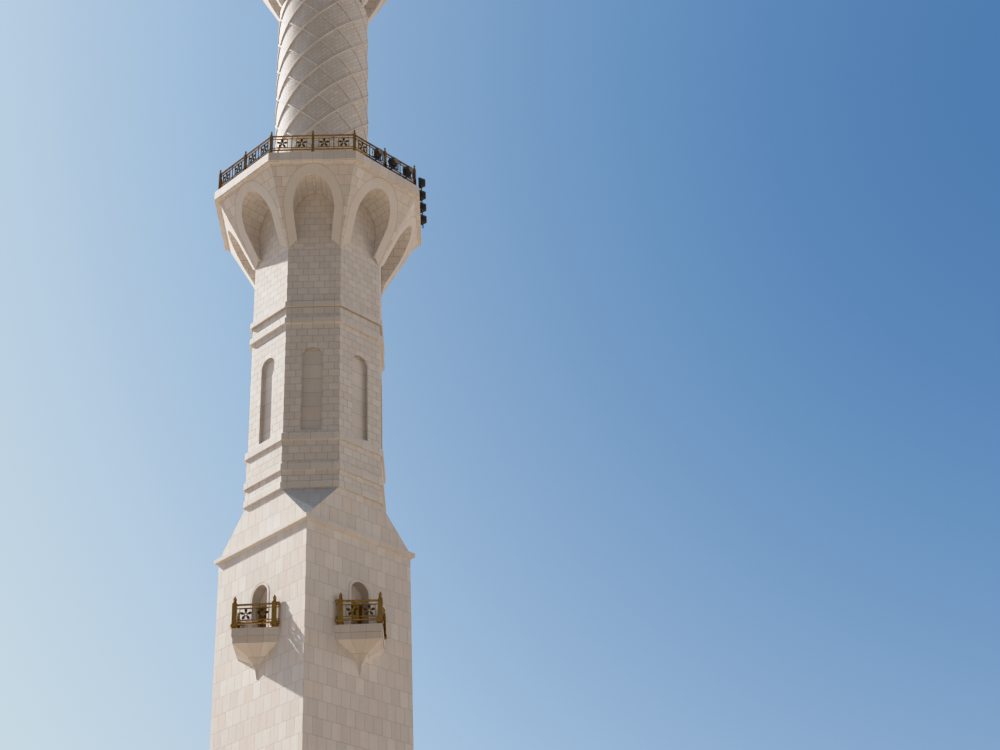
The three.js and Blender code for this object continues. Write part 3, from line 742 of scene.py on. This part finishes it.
def copy_turned(piece, name, turn, shift=(0, 0, 0)):
    twin = piece.copy()
    twin.data = piece.data.copy()
    twin.name = twin.data.name = name
    twin.data.transform(Matrix.Rotation(turn, 4, "Z") @ Matrix.Translation(shift))
    bpy.context.scene.collection.objects.link(twin)
    return twin


def joined(pieces, name):
    bpy.ops.object.select_all(action="DESELECT")
    for piece in pieces:
        piece.select_set(True)
    bpy.context.view_layer.objects.active = pieces[0]
    bpy.ops.object.join()
    whole = bpy.context.object
    whole.name = whole.data.name = name
    return whole


def finish_piece(piece, slot, smooth, *replaced):
    settle(piece)
    edit(piece)
    bpy.ops.mesh.remove_doubles(threshold=1e-6)
    bpy.ops.mesh.normals_make_consistent(inside=False)
    leave_edit()
    bpy.ops.object.shade_smooth_by_angle(angle=math.radians(smooth))
    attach(piece, "root")
    if replaced:
        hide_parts(*replaced)


def on_all_sides(piece, name, slot, smooth, node=None):
    settle(piece)
    for i, compass in enumerate(COMPASS):
        twin = copy_turned(piece, f"{name}_{compass}", i * math.pi / 2)
        finish_piece(twin, slot, smooth, *([f"{node}_{compass}"] if node else []))
    bpy.data.objects.remove(piece)
    print(name, "has", len(twin.data.polygons), "faces")


# %% [markdown]
# ## The round shaft
# The real shaft is a smooth drum with raised ribs. The drum starts as an open cylinder with many sides,
# is divided along its height, and gets its wall from Solidify.

# %% Drum
DECK_MAIN, UPPER_FLARE_FOOT, DECK_UPPER = 6.336, 8.030, 8.466
drum_height = UPPER_FLARE_FOOT - DECK_MAIN
drum = begin(
    "round_drum", bpy.ops.mesh.primitive_cylinder_add, vertices=128, radius=SHAFT_RADIUS, depth=drum_height,
    end_fill_type="NOTHING", location=(0, 0, DECK_MAIN + drum_height / 2),
)
edit(drum)
bpy.ops.mesh.subdivide_edgering(number_cuts=6, smoothness=0)
leave_edit()
modify(drum, "SOLIDIFY", thickness=0.045, offset=-1, use_rim=True)
drum.data.materials.append(net_stone)
finish_piece(drum, "marble", 30, "round_shaft")
print("drum has", len(drum.data.polygons), "faces")

# %% [markdown]
# ## The net of ribs
# A rib is a small block section with softened corners, swept round and up by the Screw modifier, then cut
# level at the decks by bisect. One rib is made for each way of climbing and copied round eight times. One
# family stands prouder than the other, so it passes over it unbroken, as on the real shaft.

# %% Ribs
RIB_PAST_DECK = 0.06


def one_rib(hand, proud):
    rib = begin("rib", bpy.ops.mesh.primitive_plane_add, size=1, location=(0, 0, 0))
    inner, outer = SHAFT_RADIUS - 0.004, SHAFT_RADIUS + proud
    edit(rib)
    bpy.ops.transform.rotate(value=math.pi / 2, orient_axis="X", center_override=(0, 0, 0))
    bpy.ops.transform.resize(value=(outer - inner, 1, RIB_HALF * 2))
    bpy.ops.transform.translate(value=((outer + inner) / 2, 0, 0))
    bpy.ops.mesh.delete(type="ONLY_FACE")
    pick("VERT", lambda point: point.co.x > SHAFT_RADIUS)
    bpy.ops.mesh.bevel(offset=0.002, segments=2, affect="VERTICES")
    bpy.ops.mesh.select_all(action="SELECT")
    bottom = DECK_MAIN - RIB_CROSSING - RIB_PAST_DECK
    bpy.ops.transform.translate(value=(0, 0, bottom))
    leave_edit()
    rib.data.transform(Matrix.Rotation(bottom / RIB_PITCH * math.tau * hand, 4, "Z"))
    length = drum_height + 2 * RIB_PAST_DECK
    modify(
        rib, "SCREW", axis="Z", angle=hand * length / RIB_PITCH * math.tau, screw_offset=length,
        steps=96, render_steps=96, use_merge_vertices=False,
    )
    rib.data.transform(Matrix.Translation((0, 0, RIB_CROSSING)))
    for cut_level, above in ((DECK_MAIN, False), (UPPER_FLARE_FOOT, True)):
        edit(rib)
        bpy.ops.mesh.bisect(
            plane_co=(0, 0, cut_level), plane_no=(0, 0, 1), use_fill=True, clear_inner=not above, clear_outer=above
        )
        leave_edit()
    return rib


net = []
for hand, proud in ((1, 0.0090), (-1, 0.0050)):
    rib = one_rib(hand, proud)
    net += [rib, *(copy_turned(rib, f"rib_{hand}_{i}", i * math.tau / 8) for i in range(1, 8))]
ribs = joined(net, "round_ribs")
ribs.data.materials.append(rib_stone)
finish_piece(ribs, "marble", 35, "rib_net")
print("ribs have", len(ribs.data.polygons), "faces, from", round(min(v.co.z for v in ribs.data.vertices), 3))

# %% [markdown]
# ## Bronze bars and posts
# The railings are welded from square bars. A bar is a cube stretched between two corners, with its edges
# broken. A post is a square drawn up in steps: foot, collar, shaft and shoulder, each extruded from the
# last and scaled. Its spearhead is drawn up in the same way from an eight-sided circle. The steps of both
# are shares of the post's half width, so one list serves the thick posts and the thin ones.

# %% Bars and turned pieces
def bar(low, high, soften=0.0006, finish=bronze):
    low, high = Vector(low), Vector(high)
    middle = (low + high) / 2
    piece = begin("bar", bpy.ops.mesh.primitive_cube_add, size=1, location=middle)
    edit(piece)
    resize(*(high - low), middle)
    bpy.ops.mesh.bevel(offset=soften, segments=1, affect="EDGES")
    leave_edit()
    piece.data.materials.append(finish)
    return piece


def drawn_up(name, sides, steps, place, turn=0.0, finish=bronze):
    x, y, z = place
    piece = begin(
        name, bpy.ops.mesh.primitive_circle_add, vertices=sides, radius=steps[0][0], fill_type="NGON",
        location=(x, y, z + steps[0][1]), rotation=(0, 0, turn + math.pi / sides),
    )
    edit(piece)
    for (before, low), (after, high) in zip(steps, steps[1:]):
        extrude(0, 0, high - low)
        resize(after / before, after / before, 1, (x, y, z + high))
    leave_edit()
    piece.data.materials.append(finish)
    return piece


# %% Posts
POST_FOOT = [(0.80, 0), (0.80, 0.006), (1.35, 0.008), (1.35, 0.016), (1.08, 0.023), (1, 0.027)]
SPEAR = [(0.42, 0), (0.36, 0.08), (0.48, 0.13), (0.48, 0.20), (0.34, 0.27), (0.56, 0.40), (0.54, 0.52),
         (0.28, 0.80), (0.07, 1.0)]


def post(place, levels, turn=0.0):
    half = levels["post"] / 2 * math.sqrt(2)
    shoulder, tip = levels["shoulder"], levels["tip"]
    shaft = POST_FOOT + [(1, shoulder - 0.012), (0.86, shoulder - 0.006), (0.5, shoulder)]
    spear = [(share, shoulder - 0.001 + (tip - shoulder) * height) for share, height in SPEAR]
    return [
        drawn_up(name, sides, [(half * share, z) for share, z in steps], place, turn)
        for name, sides, steps in (("post", 4, shaft), ("spear", 8, spear))
    ]


# %% [markdown]
# ## The star panels
# Each bay of the railings holds two square frames with a five-petalled star. The frame is a plane with its
# middle inset and taken out. One petal is an eight-sided circle squeezed to a leaf and spun round the hub,
# and the hub is a flat ring. Solidify gives each its thickness.

# %% One star panel
FRAME_HALF, HUB_RADIUS, PETAL_FROM, PETAL_HALF = 0.0335, 0.0105, 0.0085, 0.0074


def flat_ring(name, vertices, radius, wall, middle, thick, turn=0.0):
    piece = begin(
        name, bpy.ops.mesh.primitive_circle_add, vertices=vertices, radius=radius, fill_type="NGON",
        location=middle, rotation=(math.pi / 2, turn, 0),
    )
    edit(piece)
    bpy.ops.mesh.inset(thickness=wall)
    bpy.ops.mesh.delete(type="FACE")
    leave_edit()
    modify(piece, "SOLIDIFY", thickness=thick, offset=0)
    piece.data.materials.append(bronze)
    return piece


def petals(middle, near, far, half_width, thick, finish):
    x, y, z = middle
    length = (far - near) / 2
    leaf = begin(
        "petals", bpy.ops.mesh.primitive_circle_add, vertices=8, radius=length, fill_type="NGON",
        location=(x, y, z + (near + far) / 2), rotation=(math.pi / 2, 0, 0),
    )
    edit(leaf)
    resize(half_width / length, 1, 1, leaf.location)
    pick("VERT", lambda point: 0.001 * length < abs(point.co.y) < 0.8 * length)
    resize(1.12, 1, 0.72, leaf.location)
    bpy.ops.mesh.select_all(action="SELECT")
    bpy.ops.mesh.spin(steps=4, dupli=True, angle=math.tau * 4 / 5, center=middle, axis=(0, 1, 0))
    leave_edit()
    modify(leaf, "SOLIDIFY", thickness=thick, offset=0)
    leaf.data.materials.append(finish)
    return leaf


def star_panel(x, y, levels):
    middle = (x, y, levels["star"])
    return [
        flat_ring("frame", 4, FRAME_HALF * math.sqrt(2), 0.0036, middle, 0.006, turn=math.pi / 4),
        # The petals take the darkest bronze, which is painted shade.
        petals(middle, PETAL_FROM, FRAME_HALF, PETAL_HALF, 0.003, shaded_bronze),
        flat_ring("hub", 12, HUB_RADIUS, 0.0042, middle, 0.0045),
    ]


# %% [markdown]
# ## A run of railing
# A run lies along X between two ends, with its posts, stars and thin uprights at given places. The thick
# rails close the top and bottom, and thin rails hold the frames. Every balustrade of the tower is this run
# with its own measures.

# %% One run
MAIN_LEVELS = dict(
    top=0.144, upper=0.124, star=0.0895, lower=0.055, bottom=0.038, post=0.0150, shoulder=0.160, tip=0.188
)
SMALL_LEVELS = dict(
    top=0.133, upper=0.113, star=0.079, lower=0.045, bottom=0.028, post=0.0255, shoulder=0.148, tip=0.184
)
RAILS = (("top", 0.010, 0.0045), ("bottom", 0.009, 0.0045), ("upper", 0.004, 0.003), ("lower", 0.004, 0.003))


def railing_run(name, start, end, y, posts, stars, uprights, levels):
    parts = []
    for height, thick, deep in RAILS:
        z = levels[height]
        parts.append(bar((start, y - deep, z - thick / 2), (end, y + deep, z + thick / 2), thick * 0.18))
    for x in posts:
        parts += post((x, y, 0), levels)
    for x in stars:
        parts += star_panel(x, y, levels)
    for x in uprights:
        parts.append(bar((x - 0.0028, y - 0.002, levels["bottom"]), (x + 0.0028, y + 0.002, levels["top"])))
    return joined(parts, name)


# %% [markdown]
# ## The two octagonal balustrades
# One side of the octagon is made at the deck's edge, with a post in its middle and one at its corner, and
# is copied round eight times. The copies are kept in four pieces of two sides, as the solids are. These
# high balustrades take the darker bronze, which paints in the shade they are seen in.

# %% Octagonal balustrades
def octagonal_balustrade(name, node, apothem, deck, stars):
    reach = apothem * math.tan(math.pi / 8)
    upright = sum(stars) / 2
    side = railing_run(
        "side", -reach, reach, -apothem, [0], [s * k for s in stars for k in (1, -1)], [-upright, upright], MAIN_LEVELS
    )
    side = joined([side, *post((reach, -apothem, 0), MAIN_LEVELS, math.pi / 8)], "side")
    settle(side)
    side.data.transform(Matrix.Translation((0, 0, deck)))
    # Swap to the darker bronze that is painted shade.
    for place in side.material_slots:
        place.material = shaded_rail_bronze if place.material == bronze else place.material
    for i, compass in enumerate(COMPASS):
        twins = [copy_turned(side, "twin", (2 * i + k) * math.pi / 4) for k in (0, 1)]
        pair = joined(twins, f"{name}_{compass}")
        finish_piece(pair, "bronze", 25, f"{node}_{compass}")
    bpy.data.objects.remove(side)
    print(name, "has", len(pair.data.polygons), "faces")


octagonal_balustrade("main_balustrade", "main_railing", 0.604, DECK_MAIN, (0.068, 0.185))
octagonal_balustrade("upper_balustrade", "upper_railing", 0.452, DECK_UPPER, (0.0468, 0.1404))

# %% [markdown]
# ## The balconies' balustrades
# Each pointed balcony has two arms from the wall to its point. One arm is made along X with knobs at its
# wall end, swung into place, and mirrored. The post on the point is added once, turned to face outward.

# %% Balcony balustrades
RAIL_REACH, RAIL_WALL, KNOB_HALF = 0.161, 0.173, 0.0095
arm_length = math.hypot(RAIL_REACH, RAIL_WALL)
stars = [arm_length - 0.0587, arm_length - 0.147]
arm = railing_run("arm", 0.004, arm_length, 0, [0.0293], stars, [], SMALL_LEVELS)
knobs = [
    bar((0.002, -KNOB_HALF, SMALL_LEVELS[rail] - KNOB_HALF), (0.018, KNOB_HALF, SMALL_LEVELS[rail] + KNOB_HALF), 0.004)
    for rail in ("top", "bottom")
]
arm = joined([arm, *knobs], "arm")
settle(arm)
swing = Matrix.Rotation(-math.atan2(RAIL_REACH, RAIL_WALL), 4, "Z")
arm.data.transform(Matrix.Translation((-RAIL_WALL, -WALL_FACE, DECK_SMALL)) @ swing)
modify(arm, "MIRROR", use_axis=(True, False, False), use_mirror_merge=False)
point_post = post((0, -WALL_FACE - RAIL_REACH, DECK_SMALL), SMALL_LEVELS, math.pi / 4)
arm = joined([arm, *point_post], "arm")
on_all_sides(arm, "balcony_balustrade", "bronze", 25, "small_railing")

# %% [markdown]
# ## The gates
# Each doorway onto a balcony has a low bronze gate. Its plate is a bar with a moulded top band, a foot
# rail and two stiles, and a rosette of five leaves cut through it. The leaves are the petals of the
# railing, made thick and taken out of the plate with a Boolean modifier, and so is the slot at its foot.

# %% Gates
GATE_HALF, STILE, GATE_FRONT = 0.0615, 0.008, 0.040 - WALL_FACE
ROSETTE_LEVEL = DECK_SMALL + 0.100


def gate_bar(low, high, soften, left=-GATE_HALF, right=GATE_HALF, near=0.0, far=0.008):
    return bar(
        (left, GATE_FRONT + near, DECK_SMALL + low), (right, GATE_FRONT + far, DECK_SMALL + high), soften
    )


plate = gate_bar(0.001, 0.190, 0.0006, near=0.002, far=0.007)
cut_out(plate, petals((0, GATE_FRONT + 0.004, ROSETTE_LEVEL), 0.010, 0.046, 0.0125, 0.03, bronze))
cut_out(plate, gate_bar(0.013, 0.024, 0.0006, -0.045, 0.045, near=-0.01, far=0.02))
gate = joined([
    plate,
    gate_bar(0.170, 0.192, 0.002, near=-0.001),
    gate_bar(0.158, 0.163, 0.001),
    gate_bar(0.030, 0.042, 0.002),
    gate_bar(0.0, 0.010, 0.002),
    gate_bar(0.0, 0.170, 0.002, right=STILE - GATE_HALF),
    gate_bar(0.0, 0.170, 0.002, left=GATE_HALF - STILE),
    flat_ring("hub", 16, 0.014, 0.004, (0, GATE_FRONT + 0.001, ROSETTE_LEVEL), 0.003),
], "gate")
on_all_sides(gate, "gate", "bronze", 20, "door_gate")

# %% [markdown]
# ## The door surrounds
# A flat moulding follows each doorway up one side, round the arch and down the other. Its section is a
# small rectangle that is extruded up to the springing, spun half round the arch's centre, and extruded
# down again. A broad strip and a thin outer bead leave a dark line between them.

# %% Door surrounds
DOOR_HALF, DOOR_SPRING = 0.062, 3.616
moulding_stone = laid_stone("moulding stone", 4, 3.0, COURSE, FIRST_COURSE, 0.0012, PALE, 19, 0.5)


def surround(near, far, proud):
    across, deep = far - near, proud + 0.002
    middle = (DOOR_HALF + (near + far) / 2, -WALL_FACE - proud + deep / 2, DECK_SMALL)
    strip = begin("strip", bpy.ops.mesh.primitive_plane_add, size=1, location=middle)
    edit(strip)
    resize(across, deep, 1, middle)
    extrude(0, 0, DOOR_SPRING - DECK_SMALL)
    bpy.ops.mesh.spin(steps=24, angle=math.pi, center=(0, middle[1], DOOR_SPRING), axis=(0, 1, 0))
    extrude(0, 0, DECK_SMALL - DOOR_SPRING)
    leave_edit()
    modify(strip, "BEVEL", width=0.0006, segments=1, limit_method="ANGLE")
    strip.data.materials.append(moulding_stone)
    return strip


door_trim = joined([surround(0.0015, 0.0115, 0.0012), surround(0.0135, 0.0180, 0.0018)], "trim")
on_all_sides(door_trim, "door_surround", "marble", 35)

# %% [markdown]
# ## The landing doors
# Inside each doorway a pale surface closes the view, as far back as the wall is thick. It is made as a
# pair of plastered leaves: a bar, whose front is inset and pushed in to leave a frame, with a line between
# the leaves cut by a thin bar.

# %% Plaster
plaster, place, shader = start_finish("landing plaster")
trowel = noise(place, 26.0, 5.0)
dust = use_group(weather, {"Position": place})["Dust"]
tone = mixed(trowel, (0.90, 0.82, 0.74), (0.84, 0.75, 0.66))
link(mixed(times(dust, 0.25), tone, (0.56, 0.45, 0.35)), shader.inputs["Base Color"])
shader.inputs["Roughness"].default_value = 0.85
bumped(shader, trowel, 0.3, 0.001)
print("plaster has", len(plaster.node_tree.nodes), "nodes")

# %% Landing doors
LEAF_HALF, LEAF_FRONT, LEAF_TOP, GAP_HALF = 0.070, -0.3195, 3.700, 0.0008
leaves = bar((-LEAF_HALF, LEAF_FRONT, DECK_SMALL), (LEAF_HALF, LEAF_FRONT + 0.012, LEAF_TOP), 0.0008, plaster)
edit(leaves)
pick("FACE", lambda face: face.normal.y < -0.9)
bpy.ops.mesh.inset(thickness=0.010)
extrude(0, 0.003, 0)
leave_edit()
cut_out(leaves, bar(
    (-GAP_HALF, LEAF_FRONT - 0.01, DECK_SMALL - 0.01), (GAP_HALF, LEAF_FRONT + 0.006, LEAF_TOP + 0.01), 1e-5
))
on_all_sides(leaves, "landing_door", "marble", 20)

# %% [markdown]
# ## The floodlights
# Seven lamps hang outside the main balustrade and light the round shaft. A housing is a hexagon with a
# short rim, drawn out and narrowed away from the tower, where a plate closes it. A U-shaped bracket of
# three bars holds it, and an arm reaches back to the rail.

# %% Floodlights
LAMP_LEVEL, LAMP_NEAR, LAMP_FAR, LAMP_RADIUS = DECK_MAIN + 0.064, 0.6265, 0.670, 0.036
HOUSING_STEPS = ((0.009, 1.0), (0.030, 0.68), (0.0045, 0.84))
BRACKET_BARS = (
    ((-0.0375, -0.648, -0.040), (-0.0360, -0.641, 0.004), 0.0003),
    ((0.0360, -0.648, -0.040), (0.0375, -0.641, 0.004), 0.0003),
    ((-0.0375, -0.648, -0.0415), (0.0375, -0.641, -0.0395), 0.0003),
    ((-0.005, -0.645, -0.0415), (0.005, -0.604, -0.0345), 0.001),
)
LAMP_PLACES = {"south": (0, (-0.095, 0.035, 0.158)), "southeast": (math.pi / 4, (-0.221, -0.095, 0.031, 0.158))}


def floodlight():
    shell = begin(
        "housing", bpy.ops.mesh.primitive_circle_add, vertices=6, radius=LAMP_RADIUS, fill_type="NGON",
        location=(0, -LAMP_NEAR, LAMP_LEVEL), rotation=(math.pi / 2, math.pi / 6, 0),
    )
    edit(shell)
    for step, ratio in HOUSING_STEPS:
        extrude(0, -step, 0)
        resize(ratio, 1, ratio, (0, -LAMP_FAR, LAMP_LEVEL))
    shell.data.materials.append(black_coat)
    shell.data.materials.append(lamp_plate)
    shell.active_material_index = 1
    pick("FACE", lambda face: face.calc_center_median().z > 0.043)
    bpy.ops.object.material_slot_assign()
    bpy.ops.mesh.inset(thickness=0.0025)
    extrude(0, 0.0015, 0)
    leave_edit()
    modify(shell, "BEVEL", width=0.0008, segments=1, limit_method="ANGLE")
    lift = Vector((0, 0, LAMP_LEVEL))
    bracket = [bar(Vector(low) + lift, Vector(high) + lift, soften, black_coat) for low, high, soften in BRACKET_BARS]
    whole = joined([shell, *bracket], "floodlight")
    settle(whole)
    return whole


lamp = floodlight()
for side, (turn, places) in LAMP_PLACES.items():
    for number, x in enumerate(places, 1):
        twin = copy_turned(lamp, f"lamp_{side}_{number}", turn, (x, 0, 0))
        finish_piece(twin, "black_paint", 20, f"floodlight_{side}_{number}")
bpy.data.objects.remove(lamp)
print("floodlight has", len(twin.data.polygons), "faces")

# %% [markdown]
# ## The lantern
# Above the picture the tower ends in an open lantern. The arcade's ring is an eight-sided band with its
# middle and the arches cut out by Boolean cylinders. One column is drawn up with a base, a slight swelling
# and a capital, and is copied to the eight corners. A ring is measured to its flat sides, so the radius
# of its corners is longer by a fixed ratio.

# %% Lantern arcade
LANTERN_RADIUS, COLUMN_FOOT, COLUMN_TOP, ARCH_CENTRE = 0.205, 8.506, 9.060, 9.080
TO_CORNER = 1 / math.cos(math.pi / 8)
RING_STEPS = ((0.219, 0.0), (0.223, 0.006), (0.223, 0.160), (0.229, 0.168), (0.229, 0.180), (0.223, 0.190))
COLUMN_STEPS = (
    (0.024, 0), (0.024, 0.014), (0.0225, 0.017), (0.0235, 0.023), (0.019, 0.030), (0.018, 0.036), (0.0184, 0.20),
    (0.0165, 0.49), (0.0190, 0.494), (0.0190, 0.499), (0.0165, 0.503), (0.0175, 0.515), (0.0235, 0.536),
    (0.024, 0.540), (0.024, 0.556),
)


def drum_cutter(sides, radius, middle, depth, turn):
    return begin(
        "cutter", bpy.ops.mesh.primitive_cylinder_add, vertices=sides, radius=radius, depth=depth,
        location=middle, rotation=turn,
    )


ring_steps = [(apothem * TO_CORNER, height) for apothem, height in RING_STEPS]
ring = drawn_up("ring", 8, ring_steps, (0, 0, COLUMN_TOP - 0.010), finish=lantern_stone)
cut_out(ring, drum_cutter(8, 0.187 * TO_CORNER, (0, 0, 9.15), 0.5, (0, 0, math.pi / 8)))
opening = LANTERN_RADIUS * math.tan(math.pi / 8) - 0.024
for i in range(4):
    turn = i * math.pi / 4
    cut_out(ring, drum_cutter(48, opening, (0, 0, ARCH_CENTRE), 0.8, (math.pi / 2, 0, turn)))
    low_cut = bar((-opening, -0.4, COLUMN_TOP - 0.05), (opening, 0.4, ARCH_CENTRE), 1e-5)
    low_cut.rotation_euler = (0, 0, turn)
    cut_out(ring, low_cut)
arcade = [ring]
for i in range(8):
    angle = (i + 0.5) * math.pi / 4
    radius = LANTERN_RADIUS * TO_CORNER
    spot = (radius * math.sin(angle), radius * math.cos(angle), COLUMN_FOOT)
    arcade.append(drawn_up("column", 24, COLUMN_STEPS, spot, finish=lantern_stone))
arcade = joined(arcade, "arcade")
finish_piece(arcade, "marble", 30, "lantern_arcade")
print("arcade has", len(arcade.data.polygons), "faces")

# %% [markdown]
# ## The gilded dome
# The dome is drawn up from a moulded drum through an onion curve, with many sides so that it shades
# smoothly. The curve is a cubic Bezier, whose middle two points give the bulge and the long neck.

# %% Dome
DOME_FOOT, FINIAL_FOOT, TIP = 9.330, 9.962, 10.700
DOME_RADII, DOME_HEIGHTS, DOME_CUTS = (0.170, 0.258, 0.170, 0.026), (0.070, 0.250, 0.430, 0.612), 24


def curve_point(points, t):
    a, b, c, d = points
    s = 1 - t
    return s ** 3 * a + 3 * s * s * t * b + 3 * s * t * t * c + t ** 3 * d


dome_steps = [
    (0.176, 0.0), (0.180, 0.004), (0.180, 0.020), (0.174, 0.026), (0.174, 0.050), (0.180, 0.056), (0.180, 0.062),
    (0.170, 0.068),
]
for i in range(1, DOME_CUTS + 1):
    dome_steps.append((curve_point(DOME_RADII, i / DOME_CUTS), curve_point(DOME_HEIGHTS, i / DOME_CUTS)))
dome_steps.append((DOME_RADII[-1], FINIAL_FOOT - DOME_FOOT))
gilded = drawn_up("gilded_dome", 64, dome_steps, (0, 0, DOME_FOOT), finish=gold_leaf)
finish_piece(gilded, "gold", 35, "dome")
print("dome has", len(gilded.data.polygons), "faces")

# %% [markdown]
# ## The finial
# The finial above the dome is turned: a saucer, three balls that grow smaller on thin stems, a cone and a
# spike. Each ball is a half turn of sines and cosines, never thinner than the stem that carries it.

# %% Finial
STEM, BALLS = 0.009, (0.062, 0.048, 0.036)
finial_steps = [(0.030, 0), (0.036, 0.004), (0.040, 0.012), (0.038, 0.018), (0.014, 0.030), (STEM, 0.036)]
height = 0.040
for ball in BALLS:
    for i in range(1, 12):
        angle = i * math.pi / 12
        finial_steps.append((max(ball * math.sin(angle), STEM), height + ball - ball * math.cos(angle)))
    height += ball * 2 + 0.014
    finial_steps += [(STEM, height - 0.011), (0.014, height - 0.009), (0.014, height - 0.005), (STEM, height - 0.003)]
finial_steps += [
    (0.018, height + 0.003), (0.026, height + 0.010), (0.025, height + 0.018), (0.018, height + 0.034),
    (0.010, height + 0.075), (0.0065, height + 0.14), (0.0030, TIP - FINIAL_FOOT - 0.06), (0.0012, TIP - FINIAL_FOOT),
]
turned_finial = drawn_up("turned_finial", 32, finial_steps, (0, 0, FINIAL_FOOT), finish=gold_leaf)
finish_piece(turned_finial, "gold", 40, "finial")
print("finial has", len(turned_finial.data.polygons), "faces")

# %% [markdown]
# ## Glare
# The polished bronze would throw the hard sun straight back in a few white sparks, which the photograph
# doesn't show. A list of the bronze pieces is therefore left out of the key sun. They still mirror the
# room, and still shade the marble.

# %% Bronze out of the sun's glare
no_glare = bpy.data.collections.new("no_glare")
for piece in bpy.context.scene.objects:
    if piece.type == "MESH" and piece.material_slots and piece.material_slots[0].material in (bronze, shaded_rail_bronze):
        no_glare.objects.link(piece)
key_sun.light_linking.receiver_collection = no_glare
for entry in no_glare.collection_objects:
    entry.light_linking.link_state = "EXCLUDE"
